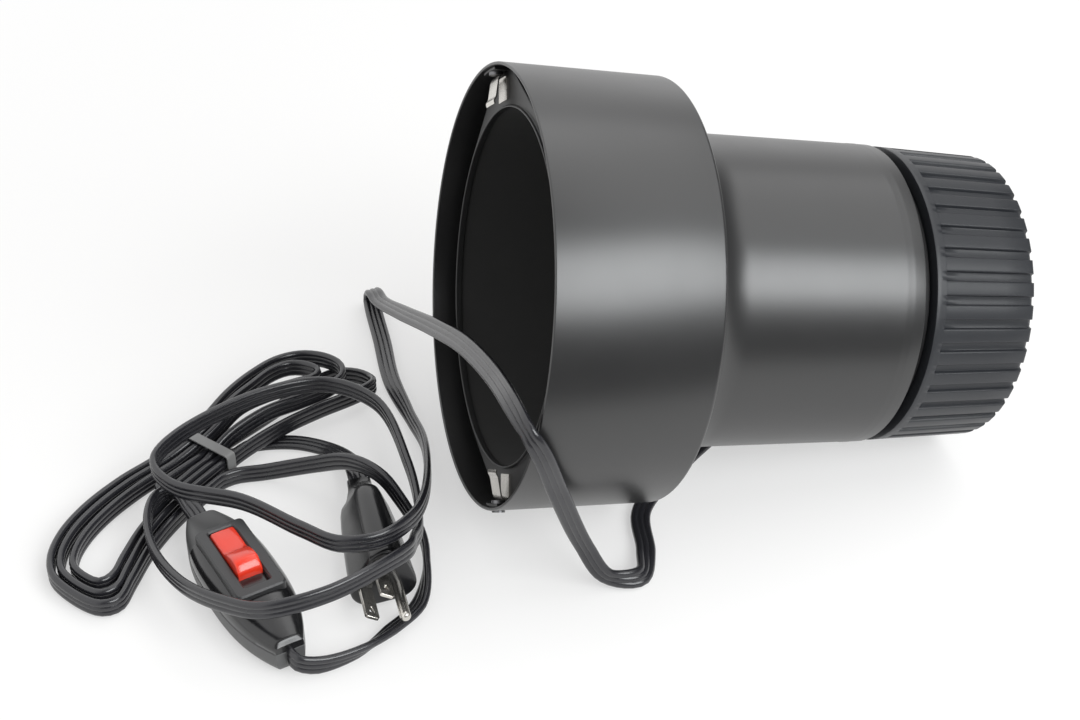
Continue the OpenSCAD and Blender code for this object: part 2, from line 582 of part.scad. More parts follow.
module switch_base() color([0.16, 0.16, 0.17]) on_switch() difference() {
  hull() {
    slab(3, 0, 0.5);
    slab(0, 5, switch_split);
  }
  slab(2.5, 2.5, 20);
  for (x = [-32, 32]) translate([x, 0, -1]) cylinder(h = 6, r = 1.7);
}

module switch_top() color([0.12, 0.12, 0.13]) on_switch() {
  difference() {
    union() {
      hull() {
        slab(0, switch_split, 15);
        translate([-24, -9, switch_split]) cube([46, 18, 12]);
        translate([-44, -5, switch_split]) cube([88, 10, 6]);
      }
      translate([-24, -11, switch_split]) cube([46, 22, switch_h - switch_split]);
    }
    slab(2.5, switch_split - 1, 14);
    translate([-22, -9, switch_split - 1]) cube([42, 18, 10]);
    translate([-21, -5.8, 0]) cube([38, 11.6, 40]);
  }
  for (x = [-32, 32]) translate([x, 0, switch_split]) difference() {
    cylinder(h = 3, r = 4);
    translate([0, 0, -1]) cylinder(h = 5, r = 1.7);
  }
}

module switch_slider() color([0.94, 0.25, 0.16]) on_switch() {
  translate([-20, -5.4, 19]) cube([30, 10.8, 8]);
  translate([-4, -5.4, 27]) cube([14, 10.8, 4]);
  translate([-21, -8, 18]) cube([32, 16, 2.4]);
}

module switch_screws() color([0.5, 0.5, 0.5]) on_switch() for (x = [-32, 32]) translate([x, 0, 0]) {
  translate([0, 0, 0.6]) cylinder(h = 1.9, r = 1.7);
  translate([0, 0, 2.5]) cylinder(h = 11.4, r = 1.7);
  translate([0, 0, 2.5]) cylinder(h = 1, r = 2.6);
}

module switch_contacts() color([0.8, 0.65, 0.3]) on_switch() for (y = [-7, 7]) {
  translate([-24, y - 2.5, 2.5]) cube([16, 5, 1]);
  translate([-9, y - 2.5, 2.5]) cube([1, 5, 11.4]);
  translate([8, y - 2.5, 2.5]) cube([16, 5, 1]);
  translate([8, y - 2.5, 2.5]) cube([1, 5, 11.4]);
}

// Plug: three-pin, moulded on, lying rolled on its side
plug_face = [-170, -74];
plug_h = 14.7;
plug_roll = 58.6;
blade_gap = 12.7;
ground_drop = 11.9;
blade_row = 6;
ground_r = 2.38;
pin_shank_r = 1.8;

module on_plug() translate([plug_face.x, plug_face.y, plug_h]) rotate([90, 0, 0]) rotate(plug_roll) children();

module plug_outline(k) {
  for (q = [[-7, 3], [7, 3], [0, -6]]) translate(q * k) circle(r = 8.5 * k, $fn = 32);
}

module plug_body() color([0.05, 0.05, 0.055]) on_plug() difference() {
  union() {
    hull() {
      translate([0, 0, -3]) linear_extrude(3) hull() plug_outline(1);
      translate([0, 0, -30]) linear_extrude(2) hull() plug_outline(0.9);
    }
    hull() {
      translate([0, 0, -30]) linear_extrude(2) hull() plug_outline(0.9);
      translate([0, 0, -52]) linear_extrude(2) hull() plug_outline(0.75);
    }
    hull() {
      translate([0, 0, -52]) linear_extrude(2) hull() plug_outline(0.6);
      translate([0, 0, -65]) rotate(-plug_roll) linear_extrude(1) square([10.5, 5.5], center = true);
    }
  }
  translate([0, blade_row - ground_drop, -10]) cylinder(h = 20, r = pin_shank_r);
}

module plug_blades() color([0.8, 0.8, 0.78]) on_plug() for (x = [-1, 1])
  translate([x * blade_gap / 2 - 0.75, blade_row - 3.2, 0]) cube([1.5, 6.4, 18]);

module ground_pin() color([0.8, 0.8, 0.78]) on_plug() translate([0, blade_row - ground_drop, 0]) {
  cylinder(h = 19.5, r = ground_r);
  translate([0, 0, 19.5]) cylinder(h = 1.5, r1 = ground_r, r2 = 1.2);
  translate([0, 0, -10]) cylinder(h = 10, r = pin_shank_r);
}

outer_shell();
mouth_plate();
plate_rivets();
clip_foot_upper();
clip_leaf_upper();
clip_foot_lower();
clip_leaf_lower();
inner_housing();
light_baffle();
neck_ring();
guide_rods();
bearing_washer();
knob();
knob_shaft();
retaining_ring();
knob_screws();
lamp_stem();
cam_pin();
lamp_carriage();
lamp_socket();
socket_shell();
centre_contact();
socket_screws();
lamp_glass();
lamp_base();
filament_mount();
terminal_block();
terminal_screws();
ground_screw();
lead_wires();
strain_relief();
cord_lamphouse();
switch_base();
switch_top();
switch_slider();
switch_screws();
switch_contacts();
cord_switch();
cord_hank();
hank_tie();
cord_plug();
plug_body();
plug_blades();
ground_pin();
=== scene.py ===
# %% [markdown]
# # A condenser lamphouse on a white table
# The object is the lamp head of a photographic enlarger: a spun metal shell that flares into a wide skirt, a
# grooved knob on its neck, and three metres of flat mains cord with a switch and a plug. The engineering model
# is loaded first as a fixed frame. Everything below gives one of its parts a finish, or lays a finer surface
# over it in the same place. Lengths are in millimetres and are scaled once, by MM.

import bmesh
import bpy
import numpy as np
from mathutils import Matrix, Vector


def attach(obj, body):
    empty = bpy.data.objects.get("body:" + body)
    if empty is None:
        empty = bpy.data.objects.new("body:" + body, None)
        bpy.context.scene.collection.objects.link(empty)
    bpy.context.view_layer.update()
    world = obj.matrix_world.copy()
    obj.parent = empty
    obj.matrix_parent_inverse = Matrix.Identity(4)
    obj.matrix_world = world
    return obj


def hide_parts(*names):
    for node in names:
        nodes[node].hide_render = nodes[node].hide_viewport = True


MM = 0.001
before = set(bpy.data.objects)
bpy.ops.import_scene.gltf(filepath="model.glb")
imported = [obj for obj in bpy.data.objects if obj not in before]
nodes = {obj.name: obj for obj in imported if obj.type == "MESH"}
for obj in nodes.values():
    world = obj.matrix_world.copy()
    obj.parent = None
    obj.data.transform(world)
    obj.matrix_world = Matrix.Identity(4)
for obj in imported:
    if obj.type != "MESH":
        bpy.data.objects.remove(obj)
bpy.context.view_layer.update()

# %% [markdown]
# ## The camera
# The photograph was taken from a little left of the front and well above, with a short telephoto lens. The
# place and direction were solved from the rim, the shoulder and the knob, so the view needs no shift.

# %% Camera
def placed(name, data):
    """A new object at the origin, in the scene."""
    obj = bpy.data.objects.new(name, data)
    bpy.context.scene.collection.objects.link(obj)
    return obj


def facing(direction):
    """The rotation that turns a camera or a lamp to look along a direction."""
    return Vector(direction).to_track_quat("-Z", "Y").to_euler()


CAMERA_AT = (-0.2490, -0.6654, 0.5796)
CAMERA_LOOKS = (0.1907, 0.7741, -0.6036)
camera_data = bpy.data.cameras.new("camera")
camera_data.lens = 65.0
camera_data.sensor_width = 36.0
camera_data.clip_end = 20.0
camera = placed("camera", camera_data)
camera.location, camera.rotation_euler = CAMERA_AT, facing(CAMERA_LOOKS)
bpy.context.scene.camera = camera
print("camera at", CAMERA_AT, "with a", camera_data.lens, "mm lens")

# %% [markdown]
# ## Three frames of reference
# The lamphouse is round, so its pieces are described about their own axis. It lies on its shoulder and on the
# far edge of the knob, which tilts that axis by about eleven degrees. The switch and the plug have frames of
# their own too. Each function below takes points in a frame, in millimetres, and gives them in the room, in
# metres.

# %% Frames of the lamphouse, the switch and the plug
SHOULDER_C, KNOB_C, CORNER_R, RIM_R = (90.5, 70.5), (61.6, 224.5), 2.0, 95.0
TILT = np.arctan2(SHOULDER_C[0] - KNOB_C[0], KNOB_C[1] - SHOULDER_C[1])
SIN_T, COS_T = np.sin(TILT), np.cos(TILT)
RIM_H = CORNER_R + SHOULDER_C[0] * COS_T + SHOULDER_C[1] * SIN_T
RIM_X = (RIM_R * SIN_T - KNOB_C[0] * SIN_T - KNOB_C[1] * COS_T - CORNER_R) / 2
PLUG_ROLL = 58.6
SWITCH_TURN = -72.8
SWITCH_AT, PLUG_AT = (-227.2, -57.9, 0), (-170, -74, 14.7)


def basis(origin, x_axis, y_axis, z_axis):
    """Function that maps local p to (origin + p.x * x_axis + p.y * y_axis + p.z * z_axis) * MM."""
    axes = np.array([x_axis, y_axis, z_axis], float)
    return lambda p: (np.asarray(p, float) @ axes + origin) * MM


def turned(degrees):
    """The x and y axes of a plane turned by an angle."""
    c, s = np.cos(np.radians(degrees)), np.sin(np.radians(degrees))
    return np.array([c, s]), np.array([-s, c])


lying = basis((RIM_X, 0, RIM_H), (SIN_T, 0, COS_T), (0, -1, 0), (COS_T, 0, -SIN_T))
switch_x, switch_y = turned(SWITCH_TURN)
on_switch = basis(SWITCH_AT, (*switch_x, 0), (*switch_y, 0), (0, 0, 1))
plug_x, plug_y = turned(PLUG_ROLL)
on_plug = basis(PLUG_AT, (plug_x[0], 0, plug_x[1]), (plug_y[0], 0, plug_y[1]), (0, -1, 0))
print("tilt of the lamp's axis:", round(float(np.degrees(TILT)), 2), "degrees")

# %% [markdown]
# ## From arrays to meshes
# Every new surface is a grid of points: one index runs along it and the other round it. Neighbouring points
# make quads, the whole array goes into the mesh in one call, a weld closes seams and poles, and the normals
# are turned outwards once.


# %% Mesh helper
def quads(rows, cols, start):
    """Corner indices (i, i+1, i+cols+1, i+cols) of the quads of a rows x cols grid."""
    i = (np.arange(rows - 1)[:, None] * cols + np.arange(cols - 1)[None, :]).reshape(-1, 1) + start
    return np.hstack([i, i + 1, i + cols + 1, i + cols])


def piece(name, grids, material, stands_for=(), body="housing", sharp=35.0, weld=2e-6):
    """One object from grids of points (rows, cols, 3) in metres; it rides on a body and replaces CAD nodes."""
    faces, start = [], 0
    for g in grids:
        faces.append(quads(g.shape[0], g.shape[1], start))
        start += g.shape[0] * g.shape[1]
    faces = np.vstack(faces)
    points = np.vstack([g.reshape(-1, 3) for g in grids])
    share = lambda n: np.linspace(0, 1, n)
    uv = np.vstack([np.stack(np.meshgrid(share(g.shape[1]), share(g.shape[0])), -1).reshape(-1, 2)
                    for g in grids])
    mesh = bpy.data.meshes.new(name)
    mesh.from_pydata(points, [], faces.tolist())
    layer = mesh.uv_layers.new(name="along")
    layer.data.foreach_set("uv", uv[faces.reshape(-1)].astype(np.float32).reshape(-1))
    work = bmesh.new()
    work.from_mesh(mesh)
    bmesh.ops.remove_doubles(work, verts=work.verts, dist=weld)
    bmesh.ops.dissolve_degenerate(work, edges=work.edges, dist=weld / 4)
    bmesh.ops.recalc_face_normals(work, faces=work.faces)
    work.to_mesh(mesh)
    work.free()
    mesh.polygons.foreach_set("use_smooth", np.ones(len(mesh.polygons), bool))
    mesh.set_sharp_from_angle(angle=np.radians(sharp))
    obj = placed(name, mesh)
    mesh.materials.append(material)
    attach(obj, body)
    if stands_for:
        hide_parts(*stands_for)
    print(name, len(mesh.polygons), "faces")
    return obj


# %% [markdown]
# ## Outlines
# Most pieces start from a closed outline in a plane. A lathe turns one round an axis. A pillow lifts one into a
# plate with rounded edges. A washer is the surface between an outer and an inner outline. Corners get their
# roundings from the outline itself.


# %% Outline helpers
def arc(cx, cy, r, a, b, n=8):
    """Points c + r (cos, sin) from angle a to angle b, in degrees."""
    t = np.radians(np.linspace(a, b, n))
    return np.stack([cx + r * np.cos(t), cy + r * np.sin(t)], 1)


def polar(r, a, z):
    """Points (r cos a, r sin a, z), with a in radians."""
    return np.stack([r * np.cos(a), r * np.sin(a), z + 0 * r * a], -1)


def norm(v):
    """Length of each row of v, as a column."""
    return np.linalg.norm(v, axis=-1, keepdims=True)


def eased(corners, r, n=6, closed=True):
    """Corners c rounded by parabolas (1-t)^2 a + 2t(1-t) c + t^2 b; a and b lie at distance r from c."""
    c = np.asarray(corners, float)
    before, after = np.roll(c, 1, 0) - c, np.roll(c, -1, 0) - c
    reach = np.minimum(r, 0.49 * np.minimum(norm(before), norm(after)))
    a, b = c + before / norm(before) * reach, c + after / norm(after) * reach
    if not closed:
        a[0], b[0], a[-1], b[-1] = c[0], c[0], c[-1], c[-1]
    t = np.linspace(0, 1, n)[None, :, None]
    out = ((1 - t) ** 2 * a[:, None] + 2 * t * (1 - t) * c[:, None] + t**2 * b[:, None]).reshape(-1, 2)
    return np.vstack([out, out[:1]]) if closed else out[n - 1:len(out) - n + 1]


def rectangle(w, h, r, cx=0.0, cy=0.0, n=6):
    """A rounded rectangle of size w x h round (cx, cy)."""
    return eased(np.array([[w, h], [-w, h], [-w, -h], [w, -h]]) / 2 + (cx, cy), r, n)


def inward(loop, d):
    """The closed loop moved by d along its left-hand normals: inwards, if it runs anticlockwise."""
    p = loop[:-1]
    t = np.roll(p, -1, 0) - np.roll(p, 1, 0)
    normal = np.stack([-t[:, 1], t[:, 0]], 1) / np.maximum(norm(t), 1e-9)
    q = p + normal * d
    return np.vstack([q, q[:1]])


def flat(loop, z):
    """Loop at height z."""
    return np.concatenate([loop, np.full((len(loop), 1), float(z))], 1)


def pillow(loop, z0, z1, r, n=5):
    """Plate from z0 to z1 over a loop, with edges of radius r: inset r (1 - sin), height r (1 - cos)."""
    a = np.radians(np.linspace(0, 90, n))
    low = [flat(inward(loop, r * (1 - np.sin(t))), z0 + r * (1 - np.cos(t))) for t in a]
    high = [flat(inward(loop, r * (1 - np.sin(t))), z1 - r * (1 - np.cos(t))) for t in a[::-1]]
    middle = loop[:-1].mean(0)
    ends = [flat(np.tile(middle, (len(loop), 1)), z) for z in (z0, z1)]
    return np.array([ends[0], *low, *high, ends[1]])


def washer(outer, inner, z0, z1, r):
    """Ring between two loops with the same number of points, its four edges eased by r."""
    rows = [flat(inward(outer, r), z0), flat(outer, z0 + r), flat(outer, z1 - r), flat(inward(outer, r), z1),
            flat(inward(inner, -r), z1), flat(inner, z1 - r), flat(inner, z0 + r), flat(inward(inner, -r), z0)]
    return np.array(rows + rows[:1])


def lathe(profile, turns=192, start=0.0, end=360.0):
    """Points (r cos a, r sin a, z) of a profile [r, z] turned from one angle to another."""
    return polar(profile[:, :1], np.radians(np.linspace(start, end, turns + 1))[None], profile[:, 1:])


def closed_ends(grid):
    """The grid with one more row at each end, drawn together in the middle of the section, to close it."""
    ends = [np.repeat(grid[i].mean(0)[None, None], grid.shape[1], 1) for i in (0, -1)]
    return np.concatenate([ends[0], grid, ends[1]])


# %% [markdown]
# ## Finishes
# Two effects are shared by nearly all the finishes, so each is a node group with named sockets. "Skin" turns
# three noises into a colour that drifts a little, a roughness with smudges and a bump of fine grain. "Dust"
# sprinkles specks on what faces up. The shader itself stays in each material, and constants sit on its own
# sockets.


# %% Node helpers and the shared groups
def node(tree, kind, values=(), fed_by=(), **settings):
    """A new node with settings on itself, values on its input sockets and links into them."""
    n = tree.nodes.new(kind)
    for key, value in settings.items():
        setattr(n, key, value)
    for key, value in dict(values).items():
        n.inputs[key].default_value = value
    for key, socket in dict(fed_by).items():
        tree.links.new(socket, n.inputs[key])
    return n


def group(name, inputs, outputs):
    """An empty shader group with its sockets: {name: (socket kind, default)}."""
    tree = bpy.data.node_groups.new(name, "ShaderNodeTree")
    for key, (kind, default) in inputs.items():
        item = tree.interface.new_socket(key, in_out="INPUT", socket_type="NodeSocket" + kind)
        if default is not None:
            item.default_value = default
    for key, kind in outputs.items():
        tree.interface.new_socket(key, in_out="OUTPUT", socket_type="NodeSocket" + kind)
    return tree, tree.nodes.new("NodeGroupInput"), tree.nodes.new("NodeGroupOutput")


def build_skin():
    """Colour = base + drift noise (tint - base), roughness = base + smudge (noise - 0.5), normal from grain."""
    grey = (0.5, 0.5, 0.5, 1)
    tree, inp, out = group("skin", {
        "Vector": ("Vector", None), "Base": ("Color", grey), "Tint": ("Color", grey), "Drift": ("Float", 0.3),
        "Drift scale": ("Float", 25.0), "Roughness": ("Float", 0.5), "Smudge": ("Float", 0.1),
        "Grain scale": ("Float", 2500.0), "Grain": ("Float", 0.1), "Grain depth": ("Float", 0.00005),
    }, {"Color": "Color", "Roughness": "Float", "Normal": "Vector"})
    given, link = inp.outputs, tree.links.new
    drift = node(tree, "ShaderNodeTexNoise", {"Detail": 5.0, "Roughness": 0.6},
                 {"Vector": given["Vector"], "Scale": given["Drift scale"]})
    much = node(tree, "ShaderNodeMath", fed_by={0: drift.outputs["Fac"], 1: given["Drift"]}, operation="MULTIPLY")
    mix = node(tree, "ShaderNodeMix", data_type="RGBA",
               fed_by={"Factor": much.outputs[0], 6: given["Base"], 7: given["Tint"]})
    link(mix.outputs[2], out.inputs["Color"])
    smudge = node(tree, "ShaderNodeTexNoise", fed_by={"Vector": given["Vector"]},
                  values={"Scale": 60.0, "Detail": 6.0, "Roughness": 0.65, "Distortion": 0.4})
    centred = node(tree, "ShaderNodeMath", {1: 0.5}, {0: smudge.outputs["Fac"]}, operation="SUBTRACT")
    rough = node(tree, "ShaderNodeMath", operation="MULTIPLY_ADD",
                 fed_by={0: centred.outputs[0], 1: given["Smudge"], 2: given["Roughness"]})
    link(rough.outputs[0], out.inputs["Roughness"])
    grain = node(tree, "ShaderNodeTexNoise", {"Detail": 3.0, "Roughness": 0.6},
                 {"Vector": given["Vector"], "Scale": given["Grain scale"]})
    bump = node(tree, "ShaderNodeBump", fed_by={
        "Height": grain.outputs["Fac"], "Strength": given["Grain"], "Distance": given["Grain depth"]})
    link(bump.outputs["Normal"], out.inputs["Normal"])
    return tree


def build_dust():
    """Mask = amount * (normal.z above 0.2) * (fine noise above a threshold)."""
    tree, inp, out = group("dust", {"Vector": ("Vector", None), "Amount": ("Float", 0.3)}, {"Mask": "Float"})
    surface = node(tree, "ShaderNodeNewGeometry")
    split = node(tree, "ShaderNodeSeparateXYZ", fed_by={0: surface.outputs["Normal"]})
    up = node(tree, "ShaderNodeMapRange", {"From Min": 0.2, "From Max": 0.9}, {"Value": split.outputs["Z"]})
    specks = node(tree, "ShaderNodeTexNoise", {"Scale": 2200.0, "Detail": 2.0}, {"Vector": inp.outputs["Vector"]})
    few = node(tree, "ShaderNodeMapRange", {"From Min": 0.68, "From Max": 0.78}, {"Value": specks.outputs["Fac"]})
    both = node(tree, "ShaderNodeMath", fed_by={0: up.outputs[0], 1: few.outputs[0]}, operation="MULTIPLY")
    amount = node(tree, "ShaderNodeMath", operation="MULTIPLY",
                  fed_by={0: both.outputs[0], 1: inp.outputs["Amount"]})
    tree.links.new(amount.outputs[0], out.inputs["Mask"])
    return tree


SKIN, DUST = build_skin(), build_dust()


# %% [markdown]
# A finish is now one call: its colour and the colour it drifts to, how rough and how grainy it is, and any
# constants for the shader. Dust, where a finish has it, lightens the colour in specks.

# %% One finish
DUST_COLOUR = (0.45, 0.44, 0.42, 1)


def finish(name, base, tint, rough, skin=None, dust=0.0, **sockets):
    """A Principled material fed by the skin group and, with dust above 0, by the dust group."""
    mat = bpy.data.materials.new(name)
    mat.use_nodes = True
    tree = mat.node_tree
    link = tree.links.new
    shader = tree.nodes["Principled BSDF"]
    where = node(tree, "ShaderNodeTexCoord").outputs["Object"]
    given = {"Base": (*base, 1), "Tint": (*tint, 1), "Roughness": rough, **(skin or {})}
    fed = node(tree, "ShaderNodeGroup", given, {"Vector": where}, node_tree=SKIN)
    colour = fed.outputs["Color"]
    if dust:
        specks = node(tree, "ShaderNodeGroup", {"Amount": dust}, {"Vector": where}, node_tree=DUST)
        over = node(tree, "ShaderNodeMix", {7: DUST_COLOUR}, {"Factor": specks.outputs["Mask"], 6: colour},
                    data_type="RGBA")
        colour = over.outputs[2]
    link(colour, shader.inputs["Base Color"])
    link(fed.outputs["Roughness"], shader.inputs["Roughness"])
    link(fed.outputs["Normal"], shader.inputs["Normal"])
    for key, value in sockets.items():
        shader.inputs[key.replace("_", " ")].default_value = value
    return mat


# %% [markdown]
# ## The list of finishes
# The shell is satin black paint on spun aluminium, the knob a semi-matt moulding that looks a little blue, and
# the cord a flexible vinyl with a soft gloss. Bare metal is kept to the clips, the plug's pins and the works.

# %% Finishes
BLACK, SOOT = (0.0075, 0.0075, 0.008), (0.012, 0.012, 0.0125)
shell_paint = finish("shell_paint", BLACK, SOOT, 0.34,
                     {"Smudge": 0.05, "Grain scale": 1800.0, "Grain": 0.1, "Drift": 0.6},
                     dust=0.05, Specular_IOR_Level=0.95)
plate_paint = finish("plate_paint", BLACK, SOOT, 0.42, {"Smudge": 0.1, "Grain": 0.15}, dust=0.05)
liner_paint = finish("liner_paint", (0.008, 0.008, 0.008), (0.016, 0.015, 0.014), 0.75, {"Grain": 0.4})
cast_black = finish("cast_black", (0.014, 0.014, 0.015), (0.03, 0.03, 0.03), 0.5,
                    {"Grain scale": 900.0, "Grain": 0.5, "Grain depth": 0.0001})
rivet_metal = finish("rivet", (0.25, 0.25, 0.26), (0.12, 0.12, 0.12), 0.42, {"Drift": 0.8}, Metallic=1.0)
nickel = finish("nickel", (0.74, 0.72, 0.68), (0.45, 0.42, 0.37), 0.24,
                {"Drift": 0.55, "Drift scale": 150.0, "Smudge": 0.25, "Grain": 0.05}, Metallic=1.0)
steel = finish("steel", (0.55, 0.55, 0.56), (0.38, 0.38, 0.39), 0.3, {"Drift": 0.5, "Smudge": 0.15},
               Metallic=1.0)
brass = finish("brass", (0.72, 0.5, 0.2), (0.45, 0.3, 0.12), 0.34, {"Drift": 0.7, "Smudge": 0.2}, Metallic=1.0)
alu = finish("alu", (0.72, 0.72, 0.72), (0.5, 0.5, 0.5), 0.38, {"Drift": 0.5, "Smudge": 0.2}, Metallic=1.0)
knob_plastic = finish("knob_plastic", (0.015, 0.0165, 0.02), (0.024, 0.026, 0.03), 0.42,
                      {"Smudge": 0.12, "Grain scale": 1400.0, "Grain": 0.2, "Drift": 0.7}, dust=0.08)
cord_vinyl = finish("cord_rubber", (0.011, 0.011, 0.014), (0.02, 0.02, 0.024), 0.26,
                    {"Smudge": 0.12, "Grain scale": 1200.0, "Grain": 0.1, "Drift": 0.8, "Drift scale": 40.0},
                    Specular_IOR_Level=0.7)
boot_rubber = finish("boot_rubber", (0.016, 0.016, 0.016), (0.028, 0.028, 0.028), 0.6, {"Grain": 0.3})
switch_black = finish("switch_plastic", (0.009, 0.009, 0.01), (0.016, 0.016, 0.017), 0.22,
                      {"Smudge": 0.14, "Grain": 0.06}, dust=0.06, Coat_Weight=0.3, Coat_Roughness=0.15)
switch_grey = finish("switch_grey", (0.075, 0.076, 0.077), (0.11, 0.111, 0.112), 0.42,
                     {"Smudge": 0.12, "Grain scale": 1500.0, "Grain": 0.25}, dust=0.06)
bezel_grey = finish("bezel_grey", (0.035, 0.0355, 0.037), (0.055, 0.056, 0.058), 0.4,
                    {"Smudge": 0.12, "Grain scale": 1500.0, "Grain": 0.2}, dust=0.06)
slider_red = finish("slider_red", (0.82, 0.045, 0.018), (0.68, 0.03, 0.012), 0.26,
                    {"Smudge": 0.12, "Grain": 0.05, "Drift": 0.5}, Coat_Weight=0.4, Coat_Roughness=0.12)
plug_vinyl = finish("plug_vinyl", (0.008, 0.008, 0.009), (0.016, 0.016, 0.017), 0.22,
                    {"Smudge": 0.18, "Grain": 0.1}, dust=0.05)
tie_grey = finish("tie_grey", (0.2, 0.2, 0.2), (0.3, 0.3, 0.29), 0.4, {"Smudge": 0.15, "Grain": 0.2})
ceramic = finish("ceramic", (0.82, 0.79, 0.72), (0.7, 0.66, 0.58), 0.2, {"Drift": 0.4, "Grain": 0.04})
block_plastic = finish("block_plastic", (0.75, 0.72, 0.65), (0.62, 0.58, 0.5), 0.42,
                       {"Drift": 0.5, "Grain": 0.2})
green_paint = finish("green_screw", (0.06, 0.28, 0.09), (0.04, 0.18, 0.06), 0.35, {"Drift": 0.6})
sleeve = finish("wire", (0.7, 0.7, 0.65), (0.55, 0.54, 0.5), 0.65, {"Grain scale": 1800.0, "Grain": 0.6})
opal = finish("opal_glass", (0.86, 0.86, 0.84), (0.8, 0.8, 0.77), 0.16,
              {"Drift": 0.5, "Smudge": 0.08, "Grain": 0.02},
              Subsurface_Weight=0.25, Subsurface_Radius=(0.004, 0.004, 0.004), Coat_Weight=0.5)
clear = finish("clear_glass", (0.9, 0.94, 0.95), (0.85, 0.9, 0.9), 0.03,
               {"Drift": 0.3, "Smudge": 0.02, "Grain": 0.01}, Transmission_Weight=0.9, IOR=1.5)
print("finishes:", len(bpy.data.materials))

# %% [markdown]
# ## The cord's way
# The flat three-core cord leaves the boot under the neck, comes out beside the skirt, crosses the open mouth,
# folds over on the table and runs round to the switch. From there it goes on under its own loops into a hank
# that is held by a tie, and from the hank to the plug. The points are those of the engineering model: x, y, z
# and the roll of the cord about its own line, where 0 stands it on edge and 90 lays it flat.

# %% Points along the cord
GLAND_R, GLAND_ANGLE, BOOT_END = 80, np.radians(240), 102.5
GLAND = np.array([GLAND_R * np.cos(GLAND_ANGLE), GLAND_R * np.sin(GLAND_ANGLE), 0.0])
boot_end, straight_out = (lying(GLAND + (0, 0, z)) / MM for z in (BOOT_END, BOOT_END + 10))
TO_SWITCH = np.array([
    [*boot_end, 0], [*straight_out, 0], [13, 64, 35, 0], [24, 50, 21, 0],
    [22, 30, 9, 0], [6, 6, 5, 20], [-21, -16, 4, 60], [-49, -43, 2, 90],
    [-55, -70, 2.5, 80], [-62, -86, 4.2, 40], [-77, -86.5, 8, -15], [-87, -85, 26, -40],
    [-100.5, -93, 65, -40], [-109, -99, 92, -35], [-114, -97, 102.5, 10], [-116, -80, 103, 40],
    [-116, -46, 92, 45], [-118.5, 3, 73, 48], [-124, 51, 50, 55], [-130.5, 95, 28, 70],
    [-136, 130, 12, 90], [-137, 140, 10, 90], [-137.5, 145, 7, 90], [-138, 144, 3, -90],
    [-138.5, 136, 2, -90], [-139, 110, 2, -88], [-140.5, 75, 3.6, -55], [-137.5, 42, 6, -12], [-136, 14, 11.5, 0],
    [-146.5, -42, 29, 0], [-156.5, -62, 35, 0], [-171, -72, 36.5, 0], [-187, -70, 36, 0], [-201, -55, 34, 0],
    [-222, -29, 31, 0], [-250, -6, 26, 0], [-257, 13, 25, 0], [-245, 29.5, 25, 0],
    [-205, 50, 25, 0], [-174, 53, 23.5, 0], [-154, 36, 22, 0], [-147.5, -8, 20, 0],
    [-148, -34, 19, 0], [-151, -52, 20.5, 0], [-155, -62.5, 24.5, 0], [-159.3, -74, 30, 0],
    [-170, -84, 33.5, 0], [-196, -96.5, 34.5, 0], [-222, -97, 32, 0], [-236, -85, 27, 0],
    [-252, -61, 19, 0], [-262, -32, 14.2, 0],
    [-263, -11, 14, 0], [-258.5, 2, 14, 0], [-253, 5.5, 14, 15], [-247, 1, 13, 50], [-243.6, -5, 12, 90],
    [-240.66, -14.44, 12, 90]])
TO_HANK = np.array([
    [-213.75, -101.38, 9.5, 0], [-212.27, -106.16, 9.5, 0], [-204, -107, 6.5, 0], [-186, -101.5, 4.4, 25],
    [-171, -91, 3.2, 65], [-157.5, -79.5, 3.2, 65], [-149, -56, 4.5, 0], [-148, -41, 6.5, 0],
    [-150.5, -33, 9.8, 0], [-155, -25.5, 16.5, 0], [-160, -18.5, 22.5, 0], [-166, -11.5, 24.5, 0],
    [-174, -2, 22, 0], [-187, 9.5, 13.5, 0], [-209, 19.5, 5, 0], [-222, 20.5, 4.5, 0]])
TO_PLUG = np.array([
    [-228, 31.5, 4.5, 0], [-224, 35, 4.5, 15], [-220, 38, 3.9, 45], [-217, 40.5, 2.8, 70],
    [-210, 44, 1.8, 90], [-192, 41, 1.8, 90], [-178, 32.5, 1.8, 90], [-170.5, 14, 8.5, 90],
    [-170, -1, 14.7, 90], [-170, -9, 14.7, 90]])

# %% [markdown]
# The hank is a rule, not a list. Along s the cord runs out to an end and back, and each fold is half an
# ellipse, squared a little at the left. Its sideways bulge and shift are powers of the sine of the angle, so
# that loops nest in one another and all pass the tie in their own slots. A row below holds one fold: the slots
# that it leaves and enters, its end along s, then bulge, power, shift, power and lift, with one value for each
# half of the fold where there are two.

# %% The hank's folds
HANK_AT, HANK_TURN, TIE_S, PITCH, ZERO, STEPS = (-309.0, -24.0), 40.0, 98.0, 4.0, -1.5, 12
LEFT = [
    (-0.5, 7, -1.5, (30, 13), (2.8, 0.7), -14, (4, 4), (0, 0)),
    (3, 4, 66, (3, 3), (2, 2), 0, (2, 2), (0, 0)),
    (1, 6, 3, (28, 12), (2.8, 0.7), -13, (4, 4), (0, 0)), (5, 2, 8, (9, 21), (0.7, 2.8), -12, (4, 4), (0, 0))]
RIGHT = [
    (7, 3, 176, (31, 31), (2, 2), -13, (2, 2), (9.6, 9.6)), (4, 1, 185, (31, 31), (4, 4), -15, (2, 1), (0, 4)),
    (6, 5, 166, (26.6, 26.6), (4, 4), -12, (4, 4), (9.6, 9.6))]
hank_x, hank_y = turned(HANK_TURN)
in_hank = basis((*HANK_AT, 0), (*hank_x, 0), (*hank_y, 0), (0, 0, 1))
CORD_W, CORD_T = 8.8, 3.3


def ramp(x):
    """Smooth step 3c^2 - 2c^3 of x held between 0 and 1."""
    c = np.clip(x, 0, 1)
    return c * c * (3 - 2 * c)


